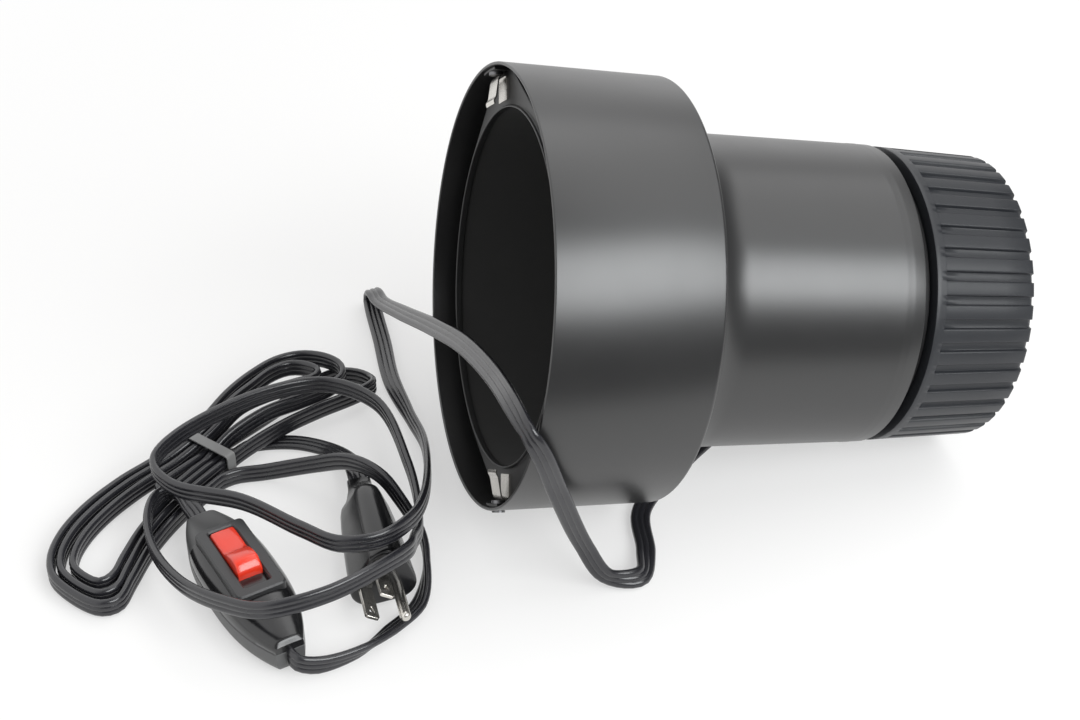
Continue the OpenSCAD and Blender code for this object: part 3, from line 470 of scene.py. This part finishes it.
def fold(leaves, enters, end, bulge, bulge_power, shift, shift_power, lift, roundness):
    """One fold: s = tie + reach sin a, n = middle + shift sin^q a + cos^k a (half + bulge sin^p a)."""
    a = np.radians(180 * (np.arange(STEPS) + 0.5) / STEPS)
    late = (a > np.pi / 2).astype(int)
    n0, n1 = ZERO + (leaves - 4) * PITCH, ZERO + (enters - 4) * PITCH
    half, reach, x, c = (n0 - n1) / 2, end - TIE_S, np.sin(a), np.cos(a)
    back = ramp((np.degrees(a) - 90) / 30)
    pick = lambda pair: np.array(pair, float)[late]
    across = np.sign(c) * np.abs(c) ** roundness * (half + np.sign(half) * pick(bulge) * x ** pick(bulge_power))
    s, n = TIE_S + reach * x, (n0 + n1) / 2 + shift * x ** pick(shift_power) + across
    z = CORD_W / 2 + 0.1 + (lift[0] * (1 - back) + lift[1] * back) * ramp(np.abs(reach) * x / 18)
    return np.hstack([in_hank(np.stack([s, n, z], 1)) / MM, 0 * z[:, None]])


def past(a, b, d):
    """The point at distance d beyond b, in line with a and b."""
    return b + d * (b - a) / norm((b - a)[:3])


hank = np.vstack([part for i in range(4) for part in (
    [fold(*LEFT[i], 0.5)] + ([fold(*RIGHT[i], 1.0)] if i < 3 else []))])
FROM_SWITCH = np.vstack([TO_HANK, past(hank[1], hank[0], 3), hank, past(hank[-2], hank[-1], 3), TO_PLUG])
print("points:", len(TO_SWITCH), "to the switch and", len(FROM_SWITCH), "from it to the plug")

# %% [markdown]
# ## Drawing the cord
# A curve's bevel can't roll exactly as this flat cord does. So the cord is a profile carried along a path:
# Hermite curves through the points with centripetal spacing, resampled at even steps, with the profile of three
# fused cores set across them. The wide direction comes from the roll at each point, blended between points.

# %% Path and profile
CORD_STEP = 3.0


def slopes(p, t):
    """Derivative at each knot: (h1 d0 + h0 d1) / (h0 + h1), one-sided at the ends."""
    h = np.diff(t)[:, None]
    d = np.diff(p, axis=0) / h
    inner = (h[1:] * d[:-1] + h[:-1] * d[1:]) / (h[1:] + h[:-1])
    return np.vstack([d[:1], inner, d[-1:]])


def smooth_path(points, step):
    """Centreline at even steps, and the wide direction there, from points [x, y, z, roll]."""
    p, roll = points[:, :3], np.radians(points[:, 3:])
    t = np.concatenate([[0], np.cumsum(norm(np.diff(p, axis=0)) ** 0.5)])
    tangent = np.vstack([p[1:2] - p[:1], p[2:] - p[:-2], p[-1:] - p[-2:-1]])
    side = np.cross(tangent, [0, 0, 1])
    side /= norm(side)
    up = np.cross(side, tangent / norm(tangent))
    wide = up * np.cos(roll) + side * np.sin(roll)
    m, u = slopes(p, t), np.linspace(0, 1, 40, endpoint=False)[None, :, None]
    h, p0, p1, m0, m1 = np.diff(t)[:, None, None], p[:-1, None], p[1:, None], m[:-1, None], m[1:, None]
    fine = ((2 * u**3 - 3 * u**2 + 1) * p0 + (u**3 - 2 * u**2 + u) * h * m0
            + (3 * u**2 - 2 * u**3) * p1 + (u**3 - u**2) * h * m1).reshape(-1, 3)
    wide = ((1 - u) * wide[:-1, None] + u * wide[1:, None]).reshape(-1, 3)
    fine, wide = np.vstack([fine, p[-1:]]), np.vstack([wide, wide[-1:]])
    run = np.concatenate([[0], np.cumsum(norm(np.diff(fine, axis=0)))])
    at = np.linspace(0, run[-1], int(run[-1] / step) + 1)
    even = lambda values: np.stack([np.interp(at, run, values[:, k]) for k in range(3)], 1)
    return even(fine), even(wide), run[-1]


def three_cores(n=9):
    """Outline of three fused ovals side by side, as (thick, wide): wide = c + A cos a, thick = T/2 sin a."""
    reach = 1.9
    apart = CORD_W / 2 - reach
    cut = np.degrees(np.arccos(apart / 2 / reach))
    spans = [(apart, 0, 180 - cut), (0, cut, 180 - cut), (-apart, cut, 360 - cut), (0, 180 + cut, 360 - cut),
             (apart, 180 + cut, 360)]
    a = [np.radians(np.linspace(lo, hi, n * (2 if hi - lo > 150 else 1))) for _, lo, hi in spans]
    return np.vstack([np.stack([CORD_T / 2 * np.sin(q), c + reach * np.cos(q)], 1)
                      for q, (c, _, _) in zip(a, spans)])


def along_path(line, wide, profile):
    """Grid of line + thick * (t x w) + wide * w, with w square to the tangent t, and a closed end each way."""
    t = np.gradient(line, axis=0)
    t /= norm(t)
    w = wide - (wide * t).sum(1, keepdims=True) * t
    w /= norm(w)
    flat_way = np.cross(t, w)
    grid = line[:, None] + profile[None, :, :1] * flat_way[:, None] + profile[None, :, 1:] * w[:, None]
    caps = [np.repeat(line[i][None, None], len(profile), 1) for i in (0, -1)]
    return np.concatenate([caps[0], grid, caps[1]]) * MM


def lay_cord(name, points, stands_for):
    """The cord's mesh with its finish, in place of the nodes it stands for."""
    line, wide, run = smooth_path(points, CORD_STEP)
    obj = piece(name, [along_path(line, wide, three_cores())], cord_vinyl, stands_for,
                sharp=50, weld=1e-6)
    print(name, "runs", round(run / 1000, 3), "m")


# %% [markdown]
# ## Outer shell
# One profile turned round the axis: the skirt leans in a little from the rim to the shoulder, a long hollow
# leads into the neck, and the neck leans in again. The hollow is a quarter of an ellipse, because on the real
# shell the band of light breaks off there for nearly 20 mm. A faint bead runs round the neck near its end. The
# rim is a rolled edge, so it catches a thin line of light.

# %% Shell
WALL, NECK_END, HOLLOW_C, HOLLOW_R, HOLLOW_L = 1.3, 172.0, (82.3, 93.0), 13.5, 20.5


def hollow(t, a, b, n=24):
    """Points c + ((R + t) cos, (L + t) sin) of the ellipse between shoulder and neck, t further in."""
    u = np.radians(np.linspace(a, b, n))
    return np.stack([HOLLOW_C[0] + (HOLLOW_R + t) * np.cos(u), HOLLOW_C[1] + (HOLLOW_L + t) * np.sin(u)], 1)


def shell_profile():
    """Closed profile [r, z] of the shell, outside from the rim to the neck's end and back inside."""
    rolled = arc(94.3, 0.7, 0.7, 180, 360, 10)
    bead = [[67.03, 163.0], [67.13, 164.2], [66.96, 165.4], [67.07, 166.6], [66.92, 167.8]]
    outside = np.vstack([rolled, arc(*SHOULDER_C, CORNER_R, 2, 90), hollow(0, 270, 180), bead,
                         arc(66.4, NECK_END, 0.4, 0, 90, 5)])
    inside = np.vstack([arc(65.9, NECK_END, 0.4, 90, 180, 5), hollow(WALL, 180, 270),
                        arc(*SHOULDER_C, CORNER_R - WALL, 90, 2, 5), [[93.6, 10.0]]])
    return np.vstack([outside, inside, outside[:1]])


piece("shell", [lying(lathe(shell_profile(), 288))], shell_paint, ["outer_shell"])

# %% [markdown]
# ## Mouth plate
# A pressed disc closes the skirt round the light opening. It has a drawn collar, and two ears that reach the
# skirt. Its outer radius is a formula of the angle: the ear's own arc, then a straight flank, then the plain
# disc.

# %% Mouth plate
CLIP_ANGLE, EAR_R, EAR_HALF, PLATE_R, COLLAR_R, PLATE_Z, PLATE_BACK = 322.0, 92.2, 12, 81.0, 76.2, 8.0, 9.2


def plate_radius(a):
    """Outer radius of the plate at angle a: the ear's arc, the flank R / cos (touch - off) or the disc."""
    off = np.abs((a - CLIP_ANGLE + 90) % 180 - 90)
    touch = np.degrees(np.arctan2(EAR_HALF, EAR_R) + np.arccos(PLATE_R / np.hypot(EAR_HALF, EAR_R)))
    flank = PLATE_R / np.cos(np.radians(np.clip(touch - off, 0, 60)))
    return np.where(off < touch, np.minimum(EAR_R, flank), PLATE_R)


def plate_grid():
    """Rows round the plate: up the collar, over its lip, along the front, round the edge and back."""
    a = np.linspace(0, 360, 361)
    edge, lip = plate_radius(a), arc(COLLAR_R + 0.5, 7.1, 0.5, 180, 360, 9)
    rows = [(COLLAR_R, PLATE_BACK), *lip, (77.2, 7.7), (77.5, PLATE_Z), (edge - 0.3, PLATE_Z),
            (edge, PLATE_Z + 0.3), (edge, PLATE_BACK), (COLLAR_R, PLATE_BACK)]
    return np.array([polar(r, np.radians(a), z) for r, z in rows])


def tab_grid(angle):
    """A piece of ring between two radii under the skirt, from the ear to the rim, with its ends closed."""
    loop = eased([(92.1, 1.5), (93.4, 1.5), (93.4, PLATE_BACK), (92.1, PLATE_BACK)], 0.3, 3)
    ring = lathe(loop, 12, angle - 5, angle + 5)
    ends = [np.repeat(ring[:, i].mean(0)[None], len(loop), 0)[:, None] for i in (0, -1)]
    return np.concatenate([ends[0], ring, ends[1]], 1)


plate_grids = plate_grid(), tab_grid(CLIP_ANGLE), tab_grid(CLIP_ANGLE + 180)
piece("mouth_plate_pressing", [lying(g) for g in plate_grids], plate_paint, ["mouth_plate"])

# %% [markdown]
# ## Spring clips
# Each ear carries a strip of nickelled spring steel, folded back over itself. The foot is welded to the ear, and
# the leaf moves, so they are two pieces on two bodies. A strip is its bent path, thickened both ways.


# %% Clips
CLIP_T, CLIP_W = 0.6, 12.0


def thickened(path, t):
    """Closed loop round an open path: path + t/2 * normal out, and path - t/2 * normal back."""
    d = np.gradient(path, axis=0)
    normal = np.stack([-d[:, 1], d[:, 0]], 1) / norm(d)
    return np.vstack([path + t / 2 * normal, (path - t / 2 * normal)[::-1], path[:1] + t / 2 * normal[:1]])


def at_clip(grid, angle):
    """A grid (radius, across, height over the plate) turned to a clip's place."""
    c, s = np.cos(np.radians(angle)), np.sin(np.radians(angle))
    x, y, z = grid[..., 0], grid[..., 1], grid[..., 2]
    return lying(np.stack([x * c - y * s, x * s + y * c, z + PLATE_Z], -1))


def strip_across(loop, w):
    """The strip's two long sides and its two cut faces, as one closed grid across the width."""
    half = len(loop) // 2
    a, b = loop[:half], loop[half:-1][::-1]
    rows = [np.stack([p[:, 0], np.full(half, y), p[:, 1]], 1)
            for p, y in ((a, -w / 2), (a, w / 2), (b, w / 2), (b, -w / 2), (a, -w / 2))]
    return np.array(rows)


def end_of(grid, i):
    """The small face that closes a strip at one end: its corners, two by two."""
    return np.array([[grid[0, i], grid[1, i]], [grid[3, i], grid[2, i]]])


foot_path = eased([(79.5, -0.3), (88.3, -0.3), (89.2, -0.5), (89.7, -1.05)], 0.4, 4, closed=False)
leaf_path = eased([(90.25, -1.75), (89.75, -3.3), (88.4, -4), (80.5, -5.2), (79, -6.2), (77.6, -5.8)],
                  0.8, 5, closed=False)
for angle, foot_node, leaf_node, leaf_body in (
        (CLIP_ANGLE, "clip_foot_upper", "clip_leaf_upper", "clip_upper"),
        (CLIP_ANGLE + 180, "clip_foot_lower", "clip_leaf_lower", "clip_lower")):
    for path, old, body in ((foot_path, foot_node, "housing"), (leaf_path, leaf_node, leaf_body)):
        g = strip_across(thickened(path, CLIP_T), CLIP_W)
        piece(old + "_strip", [at_clip(g, angle), at_clip(end_of(g, 0), angle), at_clip(end_of(g, -1), angle)],
              nickel, [old], body, sharp=50)

# %% [markdown]
# ## Knob
# The knob is a thick moulded cap with forty square grooves. Its side is a grid of height and angle. Over one
# groove, the angle and the depth follow a small listed section, and the radius is the smaller of the plain
# profile and the grooved one, so the grooves run out through the rounded end as they do on the real knob.

# %% Knob
KNOB_Z, KNOB_END, KNOB_R, KNOB_LEAN, GROOVES, GROOVE_R = 178.0, 226.5, 66.2, 2.6 / 48.5, 40, 65.0


def knob_side():
    """Rows of min(profile r, side r - share * depth) over the height, columns of angle."""
    half = np.array([(0, 1.8), (1.4, 1.8), (1.8, 1.62), (1.95, 1.2), (2.05, 0.4), (2.3, 0.1), (2.75, 0)])
    cut = np.vstack([half[:0:-1] * (-1, 1), half])
    centre = (np.arange(GROOVES) + 0.5) * 2 * np.pi / GROOVES
    angle = (centre[:, None] + cut[None, :, 0] / GROOVE_R).reshape(-1)
    depth = np.tile(cut[:, 1], GROOVES)
    angle, depth = np.append(angle, angle[0] + 2 * np.pi), np.append(depth, depth[0])
    z = np.array([178.4, 180, 182.3, 182.5, 182.62, 182.8, 190, 200, 212, 224.5])
    share = np.array([0, 0, 0, 0.1, 0.9, 1, 1, 1, 1, 1])
    side = KNOB_R - (z - KNOB_Z) * KNOB_LEAN
    corner = arc(*KNOB_C, CORNER_R, 10, 90, 7)
    profile, side = np.append(side, corner[:, 0]), np.append(side, 0 * corner[:, 0] + KNOB_C[0] + CORNER_R)
    share, z = np.append(share, np.linspace(1, 1.9, len(corner))), np.append(z, corner[:, 1])
    r = np.minimum(profile[:, None], side[:, None] - share[:, None] * depth[None])
    rows = polar(r, angle, z[:, None])
    front = [polar(r, angle, z) for r, z in ((0, 222.5), (12, 222.5), (12, 201.8), (17, 201.8), (17, 222.5),
             (56, 222.5), (58, 178.4), (58.4, KNOB_Z), (65.75, KNOB_Z), (66.05, 178.12))]
    end = [polar(r, angle, z) for r, z in ((40, KNOB_END), (16.4, KNOB_END), (15.9, 226.3), (15.6, 224.3),
                                           (0, 224.3))]
    return np.array([*front, *rows, *end])


piece("grooved_knob", [lying(knob_side())], knob_plastic, ["knob"], "focus_knob", sharp=40)

# %% [markdown]
# ## Lamp and boot
# The opal bulb is a thin closed shell, so it is drawn as an outer and an inner profile turned together. The boot
# that guards the cord where it enters the shoulder tapers, and has a few ribs so that it bends evenly.

# %% Lamp glass and boot
GLOBE_R, GLOBE_C, BASE_Z, WAIST_R, GLASS_T = 33.35, 69.35, 137.0, 28, 0.8
BULB_NECK_R = 12.6


def bulb(t):
    """Profile of the bulb, inset by t: the globe's arc, the waist's arc and the straight neck in the base."""
    c, s = WAIST_R * np.cos(np.radians(10)), WAIST_R * np.sin(np.radians(10))
    waist = arc(BULB_NECK_R - t + c, BASE_Z - 0.5 + s, WAIST_R, 216, 190, 12)
    globe = arc(0, GLOBE_C, GLOBE_R - t, -90, 28, 40)
    globe[0, 0] = 0
    return np.vstack([globe, waist, [[BULB_NECK_R - t, BASE_Z + 8]]])


glass_profile = np.vstack([bulb(0), bulb(GLASS_T)[::-1]])
piece("opal_bulb", [lying(lathe(glass_profile, 96))], opal, ["lamp_glass"], "lamp_carrier",
      sharp=50)

ribs = np.array([(6.4 - 0.05 * k - (0.55 if k % 4 in (2, 3) else 0), 75.0 + k) for k in range(1, 25)])
collar = [(0, 69), (7, 69), (7, 71.2), (5, 71.2), (5, 72.5), (6.7, 72.5), (7, 72.8), (7, 74.2), (6.7, 74.5),
          (6.4, 74.5)]
boot_profile = np.vstack([collar, ribs, [(5.1, 100.5), (4.95, 102), (4.6, BOOT_END), (0, BOOT_END)]])
piece("ribbed_boot", [lying(lathe(boot_profile, 64) + GLAND)], boot_rubber, ["strain_relief"])

# %% [markdown]
# ## The switch
# A two-part moulded case in the shape of a boat. Its outline is 15.75 - 9.5 u^2.6, with u from -1 to 1 along
# it. The base swells from a flat foot. The top is a height over the outline, glossy black except for a grey
# end, and a raised frame holds the red slider.

# %% Switch case
SWITCH_L, SPLIT = 91.0, 12.0


def boat(inset, n=40):
    """Closed anticlockwise outline of the case, inset along both axes."""
    u = np.sin(np.linspace(-np.pi / 2, np.pi / 2, n))
    half = np.stack([u * (SWITCH_L / 2 - inset), -(15.75 - 9.5 * np.abs(u) ** 2.6 - inset)], 1)
    loop = np.vstack([half, half[::-1] * (1, -1)])
    return np.vstack([loop, loop[:1]])


def crown(x, y):
    """Height of the top: 15 + (ridge(x) - 15) (1 - q^3)^0.6, with q = |y| / half width at x."""
    u = np.clip(np.abs(x) / (SWITCH_L / 2), 0, 1)
    q = np.clip(np.abs(y) / (15.8 - 9.5 * u**2.6), 0, 1)
    ridge = np.interp(x, [-45.5, -44, -24, 22, 44, 45.5], [15.5, 17.6, 23.6, 23.6, 17.6, 15.5])
    return 15 + (ridge - 15) * (1 - q**3) ** 0.6


base_rows = [(9, 0.0), (3.6, 0.0), (3.0, 0.3), (1.9, 1.4), (0.9, 3.0), (0.25, 4.6), (0, 6), (0, SPLIT - 0.5),
             (0.45, SPLIT - 0.1), (0.6, SPLIT), (2.5, SPLIT), (2.5, 2.5)]
base_grid = np.array([flat(boat(i), z) for i, z in base_rows])
spine = lambda grid, i: (grid[i] * (1, 0, 1))[None]
base_grid = np.concatenate([spine(base_grid, 0), base_grid, spine(base_grid, -1)])


def case_part(x0, x1, n):
    """Closed sections along x: up the side, over crown(x, y), down the other side and back along the split."""
    ease = lambda n: np.sin(np.linspace(-np.pi / 2, np.pi / 2, n))
    x = (x0 + x1) / 2 + (x1 - x0) / 2 * ease(n)
    half = 15.45 - 9.5 * np.abs(x / (SWITCH_L / 2)) ** 2.6
    y = half[:, None] * ease(33)[None]
    over = np.stack([x[:, None] + 0 * y, y, crown(x[:, None] + 0 * y, y)], -1)
    side = lambda s, rows: np.stack([np.stack([x, s * (half + d), np.full(n, z)], -1) for d, z in rows], 1)
    flank = [(-3.0, SPLIT), (-0.3, SPLIT), (0.0, SPLIT + 0.1), (0.3, SPLIT + 0.5), (0.3, 14.2)]
    up, down = side(-1, flank), side(1, flank[::-1])
    return closed_ends(np.concatenate([up, over, down, up[:, :1]], 1))


GREY_FROM, CASE_END = -23, SWITCH_L / 2
frame_out, frame_in = rectangle(46, 22, 2.5, -1), rectangle(38, 11.6, 1.0, -2)
bezel = washer(frame_out, frame_in, 19.0, 26.0, 0.7)
case_top = piece("switch_case_top", [on_switch(case_part(GREY_FROM, CASE_END, 60))], switch_black,
                 ["switch_top"])
case_end = piece("switch_case_end", [on_switch(case_part(-CASE_END, GREY_FROM, 30))], switch_grey)
case_frame = piece("switch_frame", [on_switch(bezel)], bezel_grey)
case_base = piece("switch_case_base", [on_switch(base_grid)], switch_grey, ["switch_base"])

# %% [markdown]
# The slider is one red moulding: a low flat step, and a thumb block that rises to a rounded crest and falls
# steeply at the front. Its top is a height along the switch, and the sides drop straight into the frame.

# %% Slider
def slider_grid():
    """Rows along x; each runs across the crowned top, down one side, under and up the other."""
    x, top = np.array([
        (-19.6, 26.0), (-19.2, 26.7), (-18, 27), (-12, 27), (-6, 27), (-4.6, 27.1), (-4.0, 27.6), (-3.2, 28.4),
        (-1, 29.5), (2, 30.6), (4.4, 31.1), (5.6, 31.15), (6.6, 30.8), (7.8, 29.8), (9.2, 28.2), (9.7, 27.5),
        (10.0, 26.6)]).T
    y = np.array([-5.4, -5.4, -5.1, -4.6, -2.5, 0, 2.5, 4.6, 5.1, 5.4, 5.4, 0, -5.4])
    drop = np.array([0, 0.8, 0.25, 0.0, 0, 0, 0, 0.0, 0.25, 0.8, 0, 0, 0])
    crowned = 0.25 * (1 - (y / 5.4) ** 2)
    z = top[:, None] - drop[None] + crowned[None] - 0.25
    under = np.array([1, 0, 0, 0, 0, 0, 0, 0, 0, 0, 1, 1, 1], bool)
    z[:, under] = 19.0
    return closed_ends(np.stack([x[:, None] + 0 * z, y[None] + 0 * z, z], -1))


slide_plate = pillow(rectangle(32, 16, 0.6, -5), 18.0, 20.4, 0.3)
piece("red_slider", [on_switch(slider_grid()), on_switch(slide_plate)], slider_red,
      ["switch_slider"], "switch_button")

# %% [markdown]
# ## The plug
# A moulded three-pin plug, lying on its side. Its outline is the hull of three discs, found from its support
# function: for each direction, the disc that reaches furthest. The body shrinks towards the cord and ends in a
# neck that fits the flat cord.

# %% Plug body
def hull_of_discs(k, n=96):
    """Points c_i + r n(theta), with i the disc whose c_i . n(theta) is largest, all scaled by k."""
    a = np.linspace(0, 2 * np.pi, n + 1)
    d = np.stack([np.cos(a), np.sin(a)], 1)
    discs = np.array([(-7, 3), (7, 3), (0, -6)], float)
    return k * (discs[(d @ discs.T).argmax(1)] + 8.5 * d)


def cord_mouth(n=96):
    """A rounded rectangle 10.5 x 5.5 round the cord, upright in the room: sign(c) |c|^0.45 along each axis."""
    a = np.linspace(0, 2 * np.pi, n + 1) + np.radians(PLUG_ROLL)
    c, s = np.cos(a), np.sin(a)
    x, y = 5.25 * np.sign(c) * np.abs(c) ** 0.45, 2.75 * np.sign(s) * np.abs(s) ** 0.45
    r = np.radians(-PLUG_ROLL)
    return np.stack([x * np.cos(r) - y * np.sin(r), x * np.sin(r) + y * np.cos(r)], 1)


plug_rows = [(0, 0.0, 0), (0, 0.9, 0), (-0.15, 0.95, 0), (-0.8, 0.99, 0), (-2, 1.0, 0), (-3, 1.0, 0),
             (-16, 0.955, 0), (-28, 0.9, 0), (-40, 0.83, 0), (-47, 0.77, 0), (-50, 0.72, 0), (-51.6, 0.64, 0),
             (-52.2, 0.6, 0.05), (-55, 0.55, 0.3), (-59, 0.5, 0.7), (-62, 0.45, 0.95), (-64.4, 0.4, 1),
             (-65, 0.4, 1), (-65, 0, 0)]
plug_grid = np.array([flat((1 - b) * hull_of_discs(k) + b * cord_mouth(), z) for z, k, b in plug_rows])
plug_body = piece("moulded_plug", [on_plug(plug_grid)], plug_vinyl, ["plug_body"], sharp=45)

# %% [markdown]
# The two blades are flat, with a round hole near the tip and rounded corners. The hole needs no cutting: the
# outline's points, drawn in towards its centre, give the inner loop.

# %% Blades and pin
BLADE_AT, PIN_R, PIN_AT = 6.35, 2.38, -5.9


def blade(x):
    """A plate 1.5 thick between x - 0.75 and x + 0.75, with a hole of radius 1.6, in the plug's frame."""
    outline = eased([(9.2, 18), (2.8, 18), (2.8, 0), (9.2, 0)], 1.4, 12)
    hole = np.array([6.0, 13.6])
    off = outline - hole
    inner = hole + 1.6 * off / norm(off)
    g = washer(outline, inner, x - 0.75, x + 0.75, 0.12)
    return np.stack([g[..., 2], g[..., 0], g[..., 1]], -1)


blades = piece("plug_blade_pair", [on_plug(blade(x)) for x in (-BLADE_AT, BLADE_AT)], nickel,
               ["plug_blades"])
pin_profile = np.vstack([[(0, -10), (1.8, -10), (1.8, 0), (PIN_R, 0), (PIN_R, 18.6)],
                         arc(0.2, 18.8, PIN_R - 0.2, 5, 90, 8), [(0, 20.98)]])
pin = piece("earth_pin", [on_plug(lathe(pin_profile, 48) + (0, PIN_AT, 0))], nickel, ["ground_pin"])

# %% [markdown]
# ## The tie
# A flat band holds the hank's waist. It goes up one side of the strands, over them and down the other.

# %% Tie
def tie_grid():
    """The band's section, a bent path thickened to 0.6, carried 5 mm along the hank."""
    lo, hi = ZERO - 3 * PITCH - 3.7, ZERO + 3 * PITCH + 3.3
    path = eased([(lo, 0.3), (lo, 12.7), (hi, 12.7), (hi, 0.3)], 1.6, 8, closed=False)
    g = strip_across(thickened(path, 0.6), 5.0)
    return [in_hank(p[..., [1, 0, 2]] + (TIE_S, 0, 0)) for p in (g, end_of(g, 0), end_of(g, -1))]


tie = piece("band_tie", tie_grid(), tie_grey, ["hank_tie"])

# %% [markdown]
# ## Laying the cord
# Now that the switch, the plug and the tie exist, the cord can be laid in place of the nodes that go
# with it. It is one cord in two lengths, because the switch sits in it.

# %% Both lengths of the cord
lay_cord("cord_to_switch", TO_SWITCH, ["cord_lamphouse"])
lay_cord("cord_to_plug", FROM_SWITCH,
         ["cord_switch", "cord_hank", "cord_plug"])

# %% [markdown]
# ## Parts that keep their engineering shape
# The liner, the baffle, the works behind the knob, the socket, the terminals and all the screws only need their
# finishes.

# %% Finishes of the other nodes
PLAIN = (
    (rivet_metal, "plate_rivets"), (liner_paint, "inner_housing light_baffle"), (cast_black, "neck_ring"),
    (steel, "guide_rods knob_shaft retaining_ring knob_screws lamp_stem cam_pin lamp_carriage socket_screws"),
    (steel, "switch_screws"), (brass, "bearing_washer socket_shell centre_contact terminal_screws"),
    (brass, "switch_contacts"), (ceramic, "lamp_socket"), (alu, "lamp_base"), (clear, "filament_mount"),
    (block_plastic, "terminal_block"), (green_paint, "ground_screw"), (sleeve, "lead_wires"))
dressed = [(nodes[name], of_it) for of_it, names in PLAIN for name in names.split()]
for obj, of_it in dressed:
    obj.data.materials.clear()
    obj.data.materials.append(of_it)
print("nodes with their own shape:", len(dressed))

# %% [markdown]
# ## Table, light and room
# One large soft light stands above and in front, to the right, in a room that is white behind and darker in
# front: a broad pale band lies along the shell, its flank below the band is nearly black, and the table
# lightens its underside. The camera sees the room as plain white. Near the object half of the table's white is
# its own glow, so that shadows show, and further off all of it, so that its edge doesn't. Gloss sees a room
# that fades towards the front and the right, and a table that ends a little in front of the object. Those dark
# places give the black paint its shape.

# %% Stage
TABLE_FRONT, TABLE_SIZE, TABLE_Z = -0.3, 9, -0.0003
AWAY = {"From Min": 0.3, "From Max": 0.7, "To Min": 0.5, "To Max": 1.0}
ROOM_FADE = {"From Min": -0.3, "From Max": 0.15, "To Min": 0.2, "To Max": 1.3}
ROOM_DIFFUSE, ROOM_WHITE_AT = 0.65, (-0.8, 0.6, 0)


def seen_directly(tree):
    """A mask, 1 for what the camera sees straight on or through clear glass, and the glossy rays' mask."""
    rays = node(tree, "ShaderNodeLightPath").outputs
    either = node(tree, "ShaderNodeMath", operation="MAXIMUM",
                  fed_by={0: rays["Is Camera Ray"], 1: rays["Is Transmission Ray"]})
    return either.outputs[0], rays["Is Glossy Ray"]


table_mesh = bpy.data.meshes.new("table")
corners = [(x, y, TABLE_Z) for x, y in ((-TABLE_SIZE, TABLE_FRONT), (TABLE_SIZE, TABLE_FRONT),
                                        (TABLE_SIZE, TABLE_SIZE), (-TABLE_SIZE, TABLE_SIZE))]
table_mesh.from_pydata(corners, [], [(0, 1, 2, 3)])
table = placed("table", table_mesh)
paper = bpy.data.materials.new("white_paper")
paper.use_nodes = True
nt = paper.node_tree
lit = nt.nodes["Principled BSDF"]
for key, value in {"Base Color": (0.92, 0.915, 0.905, 1), "Roughness": 0.9, "Specular IOR Level": 0.1}.items():
    lit.inputs[key].default_value = value
glow = node(nt, "ShaderNodeEmission", {"Color": (1, 1, 1, 1), "Strength": 1.0})
direct, glossy = seen_directly(nt)
any_view = node(nt, "ShaderNodeMath", fed_by={0: direct, 1: glossy}, operation="MAXIMUM")
spot = node(nt, "ShaderNodeTexCoord")
away = node(nt, "ShaderNodeVectorMath", fed_by={0: spot.outputs["Object"]}, operation="LENGTH")
paler = node(nt, "ShaderNodeMapRange", AWAY, {"Value": away.outputs["Value"]})
share = node(nt, "ShaderNodeMath", fed_by={0: any_view.outputs[0], 1: paler.outputs[0]}, operation="MULTIPLY")
paper_mix = node(nt, "ShaderNodeMixShader", fed_by={0: share.outputs[0], 1: lit.outputs[0], 2: glow.outputs[0]})
nt.links.new(paper_mix.outputs[0], nt.nodes["Material Output"].inputs["Surface"])
table_mesh.materials.append(paper)

world = bpy.data.worlds.new("white_room")
bpy.context.scene.world = world
world.use_nodes = True
wt = world.node_tree
direct, glossy = seen_directly(wt)
towards = node(wt, "ShaderNodeTexCoord")
behind = node(wt, "ShaderNodeVectorMath", {1: ROOM_WHITE_AT}, {0: towards.outputs["Generated"]},
              operation="DOT_PRODUCT")
fade = node(wt, "ShaderNodeMapRange", ROOM_FADE, {"Value": behind.outputs["Value"]})
indirect = node(wt, "ShaderNodeMix", {2: ROOM_DIFFUSE}, {"Factor": glossy, 3: fade.outputs[0]}, data_type="FLOAT")
strength = node(wt, "ShaderNodeMix", {3: 1.0}, {"Factor": direct, 2: indirect.outputs[0]}, data_type="FLOAT")
wt.links.new(strength.outputs[0], wt.nodes["Background"].inputs["Strength"])
wt.nodes["Background"].inputs["Color"].default_value = (1, 1, 1, 1)


def softbox(name, at, to, width, height, power, colour=(1, 1, 1)):
    """A rectangular light that faces a point."""
    light = bpy.data.lights.new(name, "AREA")
    light.shape, light.size, light.size_y, light.energy = "RECTANGLE", width, height, power
    light.color = colour
    obj = placed(name, light)
    obj.location, obj.rotation_euler = at, facing(Vector(to) - Vector(at))


softbox("front_softbox", (0.58, -1.12, 0.92), (0, 0, 0.1), 1.16, 0.76, 19.5, (0.97, 0.99, 1.0))
softbox("top_fill", (0.84, 0.2, 1.6), (0, 0, 0), 1.8, 1.3, 11)
bpy.context.scene.view_settings.view_transform = "Standard"
print("lights:", len(bpy.data.lights))
